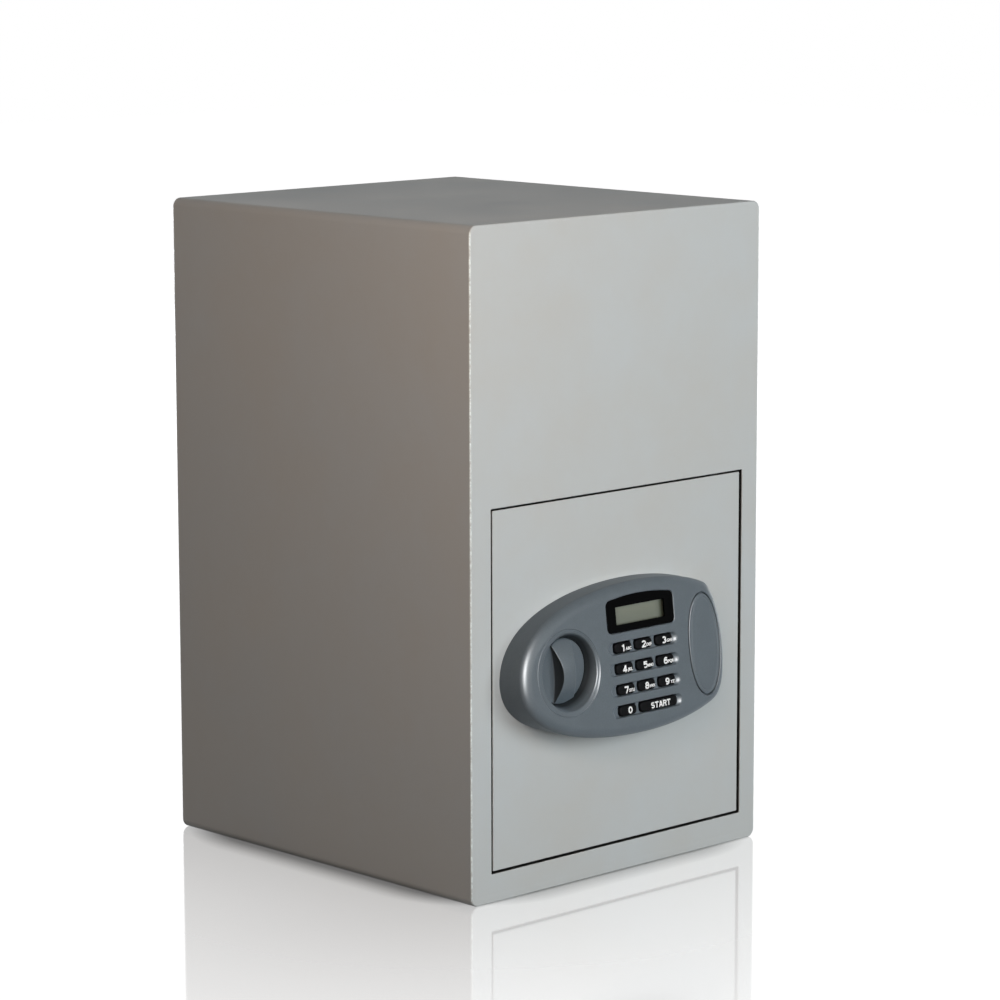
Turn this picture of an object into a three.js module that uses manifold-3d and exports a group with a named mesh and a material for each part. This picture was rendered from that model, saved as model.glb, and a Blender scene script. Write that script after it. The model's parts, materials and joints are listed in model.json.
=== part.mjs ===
// A small deposit safe: a steel body loaded from behind through a tilting hopper, and emptied through a
// flush front door that carries bolt work, a turning knob and an egg-shaped moulded lock panel.
// Millimetres, +Z up, the door faces -Y, and the origin is the middle of the base.
import * as THREE from 'three';
import { mergeVertices } from 'three/addons/utils/BufferGeometryUtils.js';
import Module from 'manifold-3d';

const wasm = await Module();
wasm.setup();

// Clearances
const FIT = 0.3;
const RUNNING_GAP = 0.5;

// Body: its width follows from the door's, with a strip of frame on either side
const BODY_DEPTH = 275;
const BODY_HEIGHT = 410;
const FRAME_LEFT = 18;
const FRAME_RIGHT = 16.8;
const SHEET = 2.5;
const BEND_RADIUS = 5.5;
const ANCHOR_HOLE_RADIUS = 6;
const ANCHOR_SPACING_X = 150;
const ANCHOR_SPACING_Y = 160;

// Door and its opening: the door's size follows from the lock panel it carries
const PANEL_FROM_DOOR_LEFT = 5.3;
const PANEL_TO_DOOR_RIGHT = 34.9;
const PANEL_FROM_DOOR_BOTTOM = 73;
const PANEL_TO_DOOR_TOP = 53.6;
const DOOR_THICKNESS = 4;
const DOOR_FROM_BASE = 19.6;
const DOOR_CORNER_RADIUS = 3;
const DOOR_GAP_LEFT = 1.3;
const DOOR_GAP_TOP = 1.2;
const DOOR_GAP_BOTTOM = 1.8;
const JAMB_DEPTH = 30;
const JAMB_THICKNESS = 2;

// Hidden door hinges
const HINGE_FROM_EDGE = 16;
const HINGE_FROM_FACE = 9;
const HINGE_PIN_RADIUS = 4;
const HINGE_EAR_THICKNESS = 5;
const HINGE_EAR_FROM_DOOR_END = 4;
const HINGE_LEAF_HEIGHT = 46;
const HINGE_LEAF_THICKNESS = 3;
const HINGE_BRACKET_HEIGHT = 8;
const SWING_CLEARANCE = 0.44;

// Bolt work
const BOLT_RADIUS = 9;
const BOLT_LENGTH = 47;
const BOLT_TIP_CHAMFER = 1.5;
const BOLT_FLAT_LENGTH = 18;
const BOLT_FLAT_DEPTH = 2;
const BOLT_BEHIND_DOOR = 12.5;
const BOLT_TIP_TO_JAMB = 7.3;
const UPPER_BOLT_ABOVE_KNOB = 51.3;
const LOWER_BOLT_BELOW_KNOB = 63.7;
const STRIKE_CLEARANCE = 1;
const CRANK_RADIUS = 11;
const CRANK_PIN_RADIUS = 3;
const CRANK_PIN_LENGTH = 8.3;
const CRANK_ARM_THICKNESS = 2.7;
const CARRIER_THICKNESS = 3;
const CARRIER_WIDTH = 36;
const CARRIER_END_MARGIN = 8.5;
const STUD_RADIUS = 3;
const STUD_COLLAR_RADIUS = 4.5;
const STUD_HEAD_THICKNESS = 2;
const UPPER_STUD_ABOVE_KNOB = 28;
const LOWER_STUD_BELOW_KNOB = 31;
const STUD_LEFT_OF_CRANK_PIN = 4.8;
const GUIDE_THICKNESS = 4;
const GUIDE_FROM_COVER = 4;
const GUIDE_EDGE = 3.2;
const GUIDE_SHOULDER = 6;
const GUIDE_FOOT_REACH = 16;
const GUIDE_FOOT_THICKNESS = 3;

// Solenoid and the carrier tab that it blocks
const SOLENOID_RIGHT_OF_KNOB = 43;
const SOLENOID_WIDTH = 22;
const SOLENOID_HEIGHT = 34;
const SOLENOID_DEPTH = 21.5;
const PLUNGER_RADIUS = 3;
const PLUNGER_SHOWING = 8;
const TAB_ABOVE_KNOB = 2;
const TAB_HEIGHT = 12;

// Inner cover of the door
const COVER_SHEET = 1.2;
const COVER_DEPTH = 27.5;
const BOLT_TIP_BEYOND_COVER = 4;
const COVER_FROM_DOOR_BOTTOM = 16.4;
const COVER_FROM_DOOR_TOP = 13.5;
const COVER_TO_HINGE_AXIS = 20.2;

// Battery box, lid and reset button
const BATTERY_RADIUS = 7.25;
const BATTERY_LENGTH = 50.5;
const BATTERY_COUNT = 4;
const BATTERY_PITCH = 15.2;
const BATTERY_BOX_WALL = 1.5;
const BATTERY_END_ROOM = 2.75;
const BATTERY_BOX_FROM_COVER_TOP = 5;
const BATTERY_BOX_FROM_COVER_RIGHT = 10;
const LID_THICKNESS = 1.5;
const LID_OVERLAP = 2;
const LID_BARREL_RADIUS = 2;
const RESET_RADIUS = 4;
const RESET_TRAVEL = 1.5;
const RESET_FROM_COVER_TOP = 21.4;

// Lock panel moulding: its front face leans back by FACE_SLOPE in 1
const PANEL_DEPTH = 21.6;
const FACE_SLOPE = 0.12;
const PANEL_EDGE_RADIUS = 4.5;
const PANEL_WALL = 2.5;
const FACE_WALL = 4;
const BOSS_RADIUS = 3.2;

// Knob and its recess
const KNOB_FROM_PANEL_LEFT = 38.7;
const KNOB_ABOVE_PANEL_BOTTOM = 45.7;
const KNOB_RADIUS = 20.1;
const KNOB_DISC_THICKNESS = 3.6;
const KNOB_DISC_PROUD = 13.2;
const RECESS_RIM_RADIUS = 22.9;
const RECESS_RIM_WIDTH = 2.8;
const RECESS_RIM_DEPTH = 1.6;
const RECESS_FLOOR_THICKNESS = 2;
const GRIP_FOOT = 17.2;
const GRIP_WAIST = 10.4;
const GRIP_RISE = 8;
const GRIP_LEAN = 5;
const HUB_RADIUS = 6;
const SPINDLE_RADIUS = 4;

// Keypad
const KEY_WIDTH = 15.6;
const KEY_HEIGHT = 6.4;
const KEY_CORNER_RADIUS = 2.6;
const KEY_PITCH_X = 17.9;
const KEY_PITCH_Z = 12.77;
const KEY_ROWS = 4;
const KEY_COLUMNS = 3;
const KEYS_FROM_KNOB = 33.2;
const LAST_KEYS_ABOVE_PANEL_BOTTOM = 16.29;
const GROOVE_LEFT_ROOM = 5;
const GROOVE_RIGHT_ROOM = 3.6;
const GROOVE_HEIGHT = 7.6;
const GROOVE_DEPTH = 2;
const GROOVE_SCOOP = 3.2;
const KEY_FLANGE = 0.9;
const KEY_FLANGE_THICKNESS = 1;
const KEY_CROWN = 0.9;
const KEY_TRAVEL = 1.2;
const MAT_THICKNESS = 1.5;
const BOARD_THICKNESS = 1.6;

// Display window
const WINDOW_WIDTH = 58.8;
const WINDOW_SIDE_HEIGHT = 20.6;
const WINDOW_ARCH = 2;
const WINDOW_CORNER_RADIUS = 3;
const WINDOW_ABOVE_FIRST_KEYS = 9.2;
const PANEL_ABOVE_WINDOW = 6.9;
const WINDOW_DEPTH = 1.5;
const BEZEL_THICKNESS = 1.2;
const LCD_WIDTH = 49;
const LCD_HEIGHT = 15.5;
const LCD_VIEW_WIDTH = 42.4;
const LCD_VIEW_HEIGHT = 11;
const LCD_ABOVE_WINDOW_BOTTOM = 10.4;
const LCD_DEPTH = 2.6;

// Oval cover and the override lock behind it
const OVAL_WIDTH = 28.6;
const OVAL_HEIGHT = 64.6;
const OVAL_FROM_KEYS = 10.1;
const OVAL_TO_PANEL_EDGE = 4.4;
const OVAL_ABOVE_PANEL_BOTTOM = 47.2;
const OVAL_THICKNESS = 2.3;
const OVAL_GROOVE = 0.45;
const LOCK_BARREL_RADIUS = 9;
const LOCK_COLLAR_RADIUS = 11.5;
const LOCK_COLLAR_THICKNESS = 3;
const LOCK_BEHIND_DOOR = 6.5;
const LOCK_PLUG_RADIUS = 6.2;
const CAM_THICKNESS = 2;
const CAM_LENGTH = 18;

// Rear hopper
const HOPPER_WIDTH = 184;
const HOPPER_HEIGHT = 96.5;
const HOPPER_FROM_TOP = 26;
const HOPPER_DOOR_THICKNESS = 3;
const HOPPER_GAP = 1.2;
const HOPPER_SILL_GAP = 2.5;
const HOPPER_AXIS_ABOVE_EDGE = 5;
const HOPPER_ROD_RADIUS = 3;
const HOPPER_KNUCKLE_RADIUS = 4;
const HOPPER_KNUCKLE_LENGTH = 30;
const PAN_SHEET = 1.5;
const PAN_LENGTH = 92;
const PAN_SLOPE = 30;
const PAN_ABOVE_AXIS = 5.3;
const PAN_FLANGE = 14;
const CHEEK_RADIUS = 86;
const GUARD_RADIUS = 96;
const GUARD_SWEEP = 60;
const GUARD_FLANGE = 14;
const PULL_WIDTH = 120;
const PULL_REACH = 14;
const PULL_FLANGE = 14;
const PULL_LIP = 6;
const PULL_FROM_LINTEL = 18;
const BRACKET_THICKNESS = 3;
const BRACKET_EAR = 9;
const BRACKET_FOOT_WIDTH = 12;
const BRACKET_FOOT_HEIGHT = 11;
const BAFFLE_FROM_BASE = 214;
const BAFFLE_REACH = 72;
const BAFFLE_DROP = 36;
const BAFFLE_FLANGE = 20;
const TOOTH_PITCH = 16;
const TOOTH_DEPTH = 8;
const MAT_FLOOR_THICKNESS = 3;

// Sizes that follow from what each piece holds
const grooveLength = GROOVE_LEFT_ROOM + KEY_WIDTH + KEY_PITCH_X * (KEY_COLUMNS - 1) + GROOVE_RIGHT_ROOM;
const panelWidth = KNOB_FROM_PANEL_LEFT + KEYS_FROM_KNOB + grooveLength + OVAL_FROM_KEYS + OVAL_WIDTH
  + OVAL_TO_PANEL_EDGE;
const firstKeysAboveBottom = LAST_KEYS_ABOVE_PANEL_BOTTOM + KEY_PITCH_Z * (KEY_ROWS - 1);
const windowAboveBottom = firstKeysAboveBottom + WINDOW_ABOVE_FIRST_KEYS;
const panelHeight = windowAboveBottom + WINDOW_SIDE_HEIGHT + WINDOW_ARCH + PANEL_ABOVE_WINDOW;
const doorWidth = PANEL_FROM_DOOR_LEFT + panelWidth + PANEL_TO_DOOR_RIGHT;
const doorHeight = PANEL_FROM_DOOR_BOTTOM + panelHeight + PANEL_TO_DOOR_TOP;
const bodyWidth = FRAME_LEFT + doorWidth + FRAME_RIGHT;

// Places worked out from the sizes
const FRONT = -BODY_DEPTH / 2;
const BACK = BODY_DEPTH / 2;
const INSIDE_X = bodyWidth / 2 - SHEET;
const INSIDE_TOP = BODY_HEIGHT - SHEET;
const PANEL_PLATE_BACK = FRONT + SHEET;
const REAR_PLATE_FRONT = BACK - SHEET;
const doorLeft = -bodyWidth / 2 + FRAME_LEFT;
const doorRight = doorLeft + doorWidth;
const doorBottom = DOOR_FROM_BASE;
const doorTop = doorBottom + doorHeight;
const doorInside = FRONT + DOOR_THICKNESS;
const hingeX = doorRight - HINGE_FROM_EDGE;
const hingeY = FRONT + HINGE_FROM_FACE;
const swingRadius = Math.hypot(HINGE_FROM_EDGE, HINGE_FROM_FACE);
const doorGapRight = swingRadius - HINGE_FROM_EDGE + SWING_CLEARANCE;
const openingLeft = doorLeft - DOOR_GAP_LEFT;
const openingRight = doorRight + doorGapRight;
const openingBottom = doorBottom - DOOR_GAP_BOTTOM;
const openingTop = doorTop + DOOR_GAP_TOP;
const panelLeft = doorLeft + PANEL_FROM_DOOR_LEFT;
const panelBottom = doorBottom + PANEL_FROM_DOOR_BOTTOM;
const panelX = panelLeft + panelWidth / 2;
const panelZ = panelBottom + panelHeight / 2;
const knobX = panelLeft + KNOB_FROM_PANEL_LEFT;
const knobZ = panelBottom + KNOB_ABOVE_PANEL_BOTTOM;
const keysLeft = knobX + KEYS_FROM_KNOB;
const keysX = keysLeft + grooveLength / 2;
const discFront = FRONT - KNOB_DISC_PROUD;
const discBack = discFront + KNOB_DISC_THICKNESS;
const crankSide = CRANK_RADIUS * Math.SQRT1_2;
const boltThrow = 2 * crankSide;
const crankPinX = knobX + crankSide;
const crankPinZ = knobZ - crankSide;
const boltY = doorInside + BOLT_BEHIND_DOOR;
const boltTipX = openingLeft + BOLT_TIP_TO_JAMB;
const boltEndX = boltTipX + BOLT_LENGTH;
const upperBoltZ = knobZ + UPPER_BOLT_ABOVE_KNOB;
const lowerBoltZ = knobZ - LOWER_BOLT_BELOW_KNOB;
const carrierFront = boltY + BOLT_RADIUS - BOLT_FLAT_DEPTH;
const carrierBack = carrierFront + CARRIER_THICKNESS;
const carrierLeft = boltEndX - BOLT_FLAT_LENGTH;
const carrierRight = carrierLeft + CARRIER_WIDTH;
const crankArmBack = carrierFront - 11 * FIT;
const crankArmFront = crankArmBack - CRANK_ARM_THICKNESS;
const coverBack = doorInside + COVER_DEPTH;
const coverInside = coverBack - COVER_SHEET;
const coverLeft = boltTipX + BOLT_TIP_BEYOND_COVER;
const coverRight = hingeX - COVER_TO_HINGE_AXIS;
const coverBottom = doorBottom + COVER_FROM_DOOR_BOTTOM;
const coverTop = doorTop - COVER_FROM_DOOR_TOP;

const safe = new THREE.Group();

const paintedSteel = new THREE.MeshStandardMaterial({ color: 0xb4b8b7, roughness: 0.5, metalness: 0.1 });
const zincSteel = new THREE.MeshStandardMaterial({ color: 0x9a9c9b, roughness: 0.35, metalness: 0.9 });
const brightSteel = new THREE.MeshStandardMaterial({ color: 0xc6c8ca, roughness: 0.2, metalness: 1 });
const darkPlastic = new THREE.MeshStandardMaterial({ color: 0x5d6469, roughness: 0.42, metalness: 0.2 });
const blackPlastic = new THREE.MeshStandardMaterial({ color: 0x0d0e10, roughness: 0.25, metalness: 0 });
const greyPlastic = new THREE.MeshStandardMaterial({ color: 0x3b3d40, roughness: 0.6, metalness: 0 });
const displayGlass = new THREE.MeshStandardMaterial({ color: 0x7d8070, roughness: 0.15, metalness: 0 });
const blackRubber = new THREE.MeshStandardMaterial({ color: 0x202122, roughness: 0.9, metalness: 0 });
const greenBoard = new THREE.MeshStandardMaterial({ color: 0x1f5a35, roughness: 0.5, metalness: 0 });
const brass = new THREE.MeshStandardMaterial({ color: 0xb08d4a, roughness: 0.3, metalness: 1 });
const blueCell = new THREE.MeshStandardMaterial({ color: 0x2f4a78, roughness: 0.3, metalness: 0.3 });
const redPlastic = new THREE.MeshStandardMaterial({ color: 0xa32420, roughness: 0.4, metalness: 0 });

// Frames in which outlines are drawn: u and v lie in the outline's plane and w points along its extrusion
const xAxis = new THREE.Vector3(1, 0, 0);
const yAxis = new THREE.Vector3(0, 1, 0);
const zAxis = new THREE.Vector3(0, 0, 1);
const faceLean = Math.atan(FACE_SLOPE);
const faceUp = new THREE.Vector3(0, Math.sin(faceLean), Math.cos(faceLean));
const faceOut = new THREE.Vector3(0, -Math.cos(faceLean), Math.sin(faceLean));
const faceOrigin = new THREE.Vector3(0, FRONT - PANEL_DEPTH, panelZ);
const frontFrame = new THREE.Matrix4().makeBasis(xAxis, zAxis, yAxis.clone().negate());
const sideFrame = new THREE.Matrix4().makeBasis(yAxis, zAxis, xAxis);
const topFrame = new THREE.Matrix4();
const faceFrame = new THREE.Matrix4().makeBasis(xAxis, faceUp, faceOut).setPosition(faceOrigin);

// How proud of the door the leaning panel face stands at height z
function faceProud(z) {
  return PANEL_DEPTH - FACE_SLOPE * (z - panelZ);
}

// Height z as a distance up the leaning face
function upFace(z) {
  return (z - panelZ) / Math.cos(faceLean);
}

// A closed solid from any closed geometry, with its faces turned outwards
function solid(geometry) {
  const bare = geometry.clone();
  bare.deleteAttribute('normal');
  bare.deleteAttribute('uv');
  const merged = mergeVertices(bare, 1e-4);
  const corners = merged.attributes.position;
  const index = merged.index.array;
  const kept = [];
  const [a, b, c] = [new THREE.Vector3(), new THREE.Vector3(), new THREE.Vector3()];
  let volume = 0;
  for (let i = 0; i < index.length; i += 3) {
    const [i0, i1, i2] = [index[i], index[i + 1], index[i + 2]];
    if (i0 === i1 || i1 === i2 || i2 === i0) continue;
    kept.push(i0, i1, i2);
    a.fromBufferAttribute(corners, i0);
    b.fromBufferAttribute(corners, i1);
    c.fromBufferAttribute(corners, i2);
    volume += a.dot(b.cross(c));
  }
  if (volume < 0) kept.reverse();
  return new wasm.Manifold(new wasm.Mesh({
    numProp: 3,
    vertProperties: new Float32Array(corners.array),
    triVerts: new Uint32Array(kept),
  }));
}

// Add a finished piece to the safe
function piece(name, body, material) {
  const mesh = body.getMesh();
  const geometry = new THREE.BufferGeometry();
  geometry.setAttribute('position', new THREE.BufferAttribute(mesh.vertProperties, 3));
  geometry.setIndex(new THREE.BufferAttribute(mesh.triVerts, 1));
  geometry.computeVertexNormals();
  const item = new THREE.Mesh(geometry, material);
  item.name = name;
  safe.add(item);
}

function union(bodies) {
  return bodies.reduce((sum, body) => sum.add(body));
}

function block(x0, x1, y0, y1, z0, z1) {
  const geometry = new THREE.BoxGeometry(x1 - x0, y1 - y0, z1 - z0);
  return solid(geometry.translate((x0 + x1) / 2, (y0 + y1) / 2, (z0 + z1) / 2));
}

// A round rod along one axis; centre holds its two other coordinates in X, Y, Z order
function rod(axis, radius, from, to, centre, segments = 20) {
  const geometry = new THREE.CylinderGeometry(radius, radius, to - from, segments);
  const middle = (from + to) / 2;
  if (axis === 'x') geometry.rotateZ(-Math.PI / 2).translate(middle, centre[0], centre[1]);
  if (axis === 'y') geometry.translate(centre[0], middle, centre[1]);
  if (axis === 'z') geometry.rotateX(Math.PI / 2).translate(centre[0], centre[1], middle);
  return solid(geometry);
}

// An outline extruded in a frame from w0 to w1
function prism(shape, frame, w0, w1, curveSegments = 2) {
  const geometry = new THREE.ExtrudeGeometry(shape, { depth: w1 - w0, bevelEnabled: false, curveSegments });
  return solid(geometry.translate(0, 0, w0).applyMatrix4(frame));
}

// The same, for an outline drawn in X and Z and extruded from y0 to y1
function prismY(shape, y0, y1, curveSegments = 2) {
  return prism(shape, frontFrame, -y1, -y0, curveSegments);
}

// A turned solid about the Y direction through x, z; the profile holds [radius, y] pairs
function turned(profile, x, z, segments = 32) {
  const points = profile.map(([radius, y]) => new THREE.Vector2(radius, y));
  return solid(new THREE.LatheGeometry(points, segments).translate(x, 0, z));
}

function rectangle(x0, x1, y0, y1, radius = 0) {
  const shape = new THREE.Shape();
  if (radius === 0) {
    return shape.moveTo(x0, y0).lineTo(x1, y0).lineTo(x1, y1).lineTo(x0, y1).closePath();
  }
  shape.moveTo(x0 + radius, y0);
  shape.lineTo(x1 - radius, y0).absarc(x1 - radius, y0 + radius, radius, -Math.PI / 2, 0);
  shape.lineTo(x1, y1 - radius).absarc(x1 - radius, y1 - radius, radius, 0, Math.PI / 2);
  shape.lineTo(x0 + radius, y1).absarc(x0 + radius, y1 - radius, radius, Math.PI / 2, Math.PI);
  shape.lineTo(x0, y0 + radius).absarc(x0 + radius, y0 + radius, radius, Math.PI, Math.PI * 1.5);
  return shape;
}

// The section of a bent sheet that follows a line of points, with mitred bends
function bentSheet(points, thickness) {
  const line = points.map(([a, b]) => new THREE.Vector2(a, b));
  const side = (offset) => line.map((point, i) => {
    const before = line[Math.max(i - 1, 0)];
    const after = line[Math.min(i + 1, line.length - 1)];
    const into = (i === 0 ? after.clone().sub(point) : point.clone().sub(before)).normalize();
    const out = (i === line.length - 1 ? into : after.clone().sub(point).normalize());
    const normal = new THREE.Vector2(-into.y - out.y, into.x + out.x).normalize();
    const stretch = 1 / Math.max(normal.dot(new THREE.Vector2(-into.y, into.x)), 0.3);
    return point.clone().addScaledVector(normal, offset * stretch);
  });
  return new THREE.Shape([...side(thickness / 2), ...side(-thickness / 2).reverse()]);
}

// A skin over rings of equal count, each a list of [u, v, w] points, closed by flat caps
function loft(rings, frame) {
  const count = rings[0].length;
  const corners = rings.flat().flat();
  const index = [];
  for (let k = 0; k + 1 < rings.length; k += 1) {
    for (let i = 0; i < count; i += 1) {
      const next = (i + 1) % count;
      const [a, b] = [k * count + i, k * count + next];
      index.push(a, b, b + count, a, b + count, a + count);
    }
  }
  const cap = (ring, start, flip) => {
    const outline = ring.map(([u, v]) => new THREE.Vector2(u, v));
    for (const [a, b, c] of THREE.ShapeUtils.triangulateShape(outline, [])) {
      index.push(start + a, start + (flip ? c : b), start + (flip ? b : c));
    }
  };
  cap(rings[0], 0, true);
  cap(rings[rings.length - 1], (rings.length - 1) * count, false);
  const geometry = new THREE.BufferGeometry();
  geometry.setAttribute('position', new THREE.Float32BufferAttribute(corners, 3));
  geometry.setIndex(index);
  return solid(geometry.applyMatrix4(frame));
}

// A closed outline drawn in by a distance
function inset(outline, distance) {
  const count = outline.length;
  return outline.map((point, i) => {
    const along = outline[(i + 1) % count].clone().sub(outline[(i + count - 1) % count]).normalize();
    return new THREE.Vector2(point.x - along.y * distance, point.y + along.x * distance);
  });
}

// The points of a shape's outline, counter-clockwise, without the repeats where its curves meet
function outlineOf(shape, divisions) {
  const points = shape.getPoints(divisions);
  const outline = points.filter((point, i) => point.distanceTo(points[(i + 1) % points.length]) > 1e-4);
  return THREE.ShapeUtils.isClockWise(outline) ? outline.reverse() : outline;
}

// Body shell: one sheet wrapped round the four sides, open at the front and the back
function makeBodyShell() {
  const outline = rectangle(-bodyWidth / 2, bodyWidth / 2, 0, BODY_HEIGHT, BEND_RADIUS);
  outline.holes.push(rectangle(-INSIDE_X, INSIDE_X, SHEET, INSIDE_TOP, BEND_RADIUS - SHEET));
  let shell = prismY(outline, FRONT, BACK, 3);
  for (const x of [-ANCHOR_SPACING_X / 2, ANCHOR_SPACING_X / 2]) {
    for (const y of [-ANCHOR_SPACING_Y / 2, ANCHOR_SPACING_Y / 2]) {
      shell = shell.subtract(rod('z', ANCHOR_HOLE_RADIUS, -1, SHEET + 1, [x, y], 20));
    }
  }
  piece('body_shell', shell, paintedSteel);
}

function insetPlateOutline() {
  const side = INSIDE_X - FIT;
  return rectangle(-side, side, SHEET + FIT, INSIDE_TOP - FIT, BEND_RADIUS - SHEET);
}

// Front panel: set flush inside the shell, with the door opening and its folded jambs
function makeFrontPanel() {
  const openingRadius = DOOR_CORNER_RADIUS + DOOR_GAP_LEFT;
  const opening = rectangle(openingLeft, openingRight, openingBottom, openingTop, openingRadius);
  const plate = insetPlateOutline();
  plate.holes.push(opening);
  const jamb = rectangle(
    openingLeft - JAMB_THICKNESS, openingRight + JAMB_THICKNESS,
    openingBottom - JAMB_THICKNESS, openingTop + JAMB_THICKNESS, openingRadius + JAMB_THICKNESS,
  );
  jamb.holes.push(opening);
  let panel = prismY(plate, FRONT, PANEL_PLATE_BACK).add(prismY(jamb, FRONT, FRONT + JAMB_DEPTH));
  for (const z of [upperBoltZ, lowerBoltZ]) {
    const strike = rod('x', BOLT_RADIUS + STRIKE_CLEARANCE, openingLeft - 2 * JAMB_THICKNESS,
      openingLeft + 1, [boltY, z], 20);
    panel = panel.subtract(strike);
  }
  const pinHole = rod('z', HINGE_PIN_RADIUS + FIT, openingBottom - 2 * JAMB_THICKNESS,
    openingTop + 2 * JAMB_THICKNESS, [hingeX, hingeY], 20);
  piece('front_panel', panel.subtract(pinHole), paintedSteel);
}

// Hinge brackets and pins of the body: a block behind each end of the opening holds its pin
function makeHingeBrackets() {
  const reachX = HINGE_PIN_RADIUS + 6;
  const upperSeat = openingTop + JAMB_THICKNESS;
  const lowerSeat = openingBottom - JAMB_THICKNESS;
  const seats = [
    ['upper', upperSeat, upperSeat + HINGE_BRACKET_HEIGHT,
      doorTop - HINGE_EAR_FROM_DOOR_END - HINGE_EAR_THICKNESS, upperSeat + HINGE_BRACKET_HEIGHT],
    ['lower', lowerSeat - HINGE_BRACKET_HEIGHT, lowerSeat,
      lowerSeat - HINGE_BRACKET_HEIGHT, doorBottom + HINGE_EAR_FROM_DOOR_END + HINGE_EAR_THICKNESS],
  ];
  for (const [end, low, high, pinLow, pinHigh] of seats) {
    const bracket = block(hingeX - reachX, hingeX + reachX, PANEL_PLATE_BACK, hingeY + HINGE_PIN_RADIUS + 3,
      low, high);
    const bore = rod('z', HINGE_PIN_RADIUS + FIT, low - 1, high + 1, [hingeX, hingeY], 20);
    piece(`${end}_hinge_bracket`, bracket.subtract(bore), zincSteel);
    piece(`${end}_hinge_pin`, rod('z', HINGE_PIN_RADIUS, pinLow, pinHigh, [hingeX, hingeY], 20), brightSteel);
  }
}

// Hinge leaves of the door: an upright foot on the door and an ear round the pin
function makeHingeLeaves() {
  const leafLeft = coverRight + 1.5;
  const ends = [
    ['upper', doorTop - HINGE_EAR_FROM_DOOR_END - HINGE_EAR_THICKNESS,
      doorTop - HINGE_EAR_FROM_DOOR_END - HINGE_LEAF_HEIGHT, doorTop - HINGE_EAR_FROM_DOOR_END],
    ['lower', doorBottom + HINGE_EAR_FROM_DOOR_END,
      doorBottom + HINGE_EAR_FROM_DOOR_END, doorBottom + HINGE_EAR_FROM_DOOR_END + HINGE_LEAF_HEIGHT],
  ];
  for (const [end, earLow, footLow, footHigh] of ends) {
    const foot = block(leafLeft, hingeX - HINGE_PIN_RADIUS - 2, doorInside, doorInside + HINGE_LEAF_THICKNESS,
      footLow, footHigh);
    const ear = rectangle(leafLeft, hingeX + HINGE_PIN_RADIUS + 4, doorInside, hingeY + HINGE_PIN_RADIUS + 4,
      3);
    const leaf = foot.add(prism(ear, topFrame, earLow, earLow + HINGE_EAR_THICKNESS));
    const bore = rod('z', HINGE_PIN_RADIUS + FIT, earLow - 1, earLow + HINGE_EAR_THICKNESS + 1,
      [hingeX, hingeY], 20);
    piece(`${end}_hinge_leaf`, leaf.subtract(bore), zincSteel);
  }
}

// Rear panel with the hopper opening
const sillZ = BODY_HEIGHT - HOPPER_FROM_TOP - HOPPER_HEIGHT;
const lintelZ = sillZ + HOPPER_HEIGHT;
const hopperAxis = [
  REAR_PLATE_FRONT - HOPPER_ROD_RADIUS - RUNNING_GAP, sillZ + HOPPER_SILL_GAP + HOPPER_AXIS_ABOVE_EDGE,
];

function makeRearPanel() {
  const plate = insetPlateOutline();
  plate.holes.push(rectangle(-HOPPER_WIDTH / 2, HOPPER_WIDTH / 2, sillZ, lintelZ, 2));
  piece('rear_panel', prismY(plate, REAR_PLATE_FRONT, BACK), paintedSteel);
}

// Hopper door: a plate that closes the opening flush, with two knuckles on the rod
function makeHopperDoor() {
  const side = HOPPER_WIDTH / 2 - HOPPER_GAP;
  const outline = rectangle(-side, side, sillZ + HOPPER_SILL_GAP, lintelZ - HOPPER_GAP, 1.5);
  let door = prismY(outline, BACK - HOPPER_DOOR_THICKNESS, BACK);
  const outer = side - 3;
  for (const from of [-outer, outer - HOPPER_KNUCKLE_LENGTH]) {
    const to = from + HOPPER_KNUCKLE_LENGTH;
    door = door.add(rod('x', HOPPER_KNUCKLE_RADIUS, from, to, hopperAxis, 20));
  }
  door = door.subtract(rod('x', HOPPER_ROD_RADIUS + FIT, -outer - 1, outer + 1, hopperAxis, 20));
  piece('hopper_door', door, paintedSteel);
}

// Hopper pan: a sheet that slopes down into the safe when the hopper is shut, with a cheek at each end
function makeHopperPan() {
  const [axisY, axisZ] = hopperAxis;
  const slope = THREE.MathUtils.degToRad(PAN_SLOPE);
  const flangeY = BACK - HOPPER_DOOR_THICKNESS - FIT - PAN_SHEET / 2;
  const startY = axisY - PAN_ABOVE_AXIS * Math.sin(slope);
  const startZ = axisZ + PAN_ABOVE_AXIS * Math.cos(slope);
  const valleyZ = startZ + (flangeY - startY) * Math.tan(slope);
  const end = [startY - PAN_LENGTH * Math.cos(slope), startZ - PAN_LENGTH * Math.sin(slope)];
  const section = bentSheet([[flangeY, valleyZ + PAN_FLANGE], [flangeY, valleyZ], end], PAN_SHEET);
  const side = HOPPER_WIDTH / 2 - 2 * HOPPER_GAP;
  let pan = prism(section, sideFrame, -side, side);
  const cheek = new THREE.Shape();
  cheek.moveTo(flangeY, valleyZ);
  cheek.lineTo(flangeY, axisZ + CHEEK_RADIUS - 2);
  const cheekEnd = Math.PI + slope - Math.asin(PAN_ABOVE_AXIS / CHEEK_RADIUS);
  cheek.absarc(axisY, axisZ, CHEEK_RADIUS, Math.PI / 2, cheekEnd, false);
  cheek.closePath();
  for (const x of [-side, side - PAN_SHEET]) {
    pan = pan.add(prism(cheek, sideFrame, x, x + PAN_SHEET, 6));
  }
  piece('hopper_pan', pan, zincSteel);
}

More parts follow.
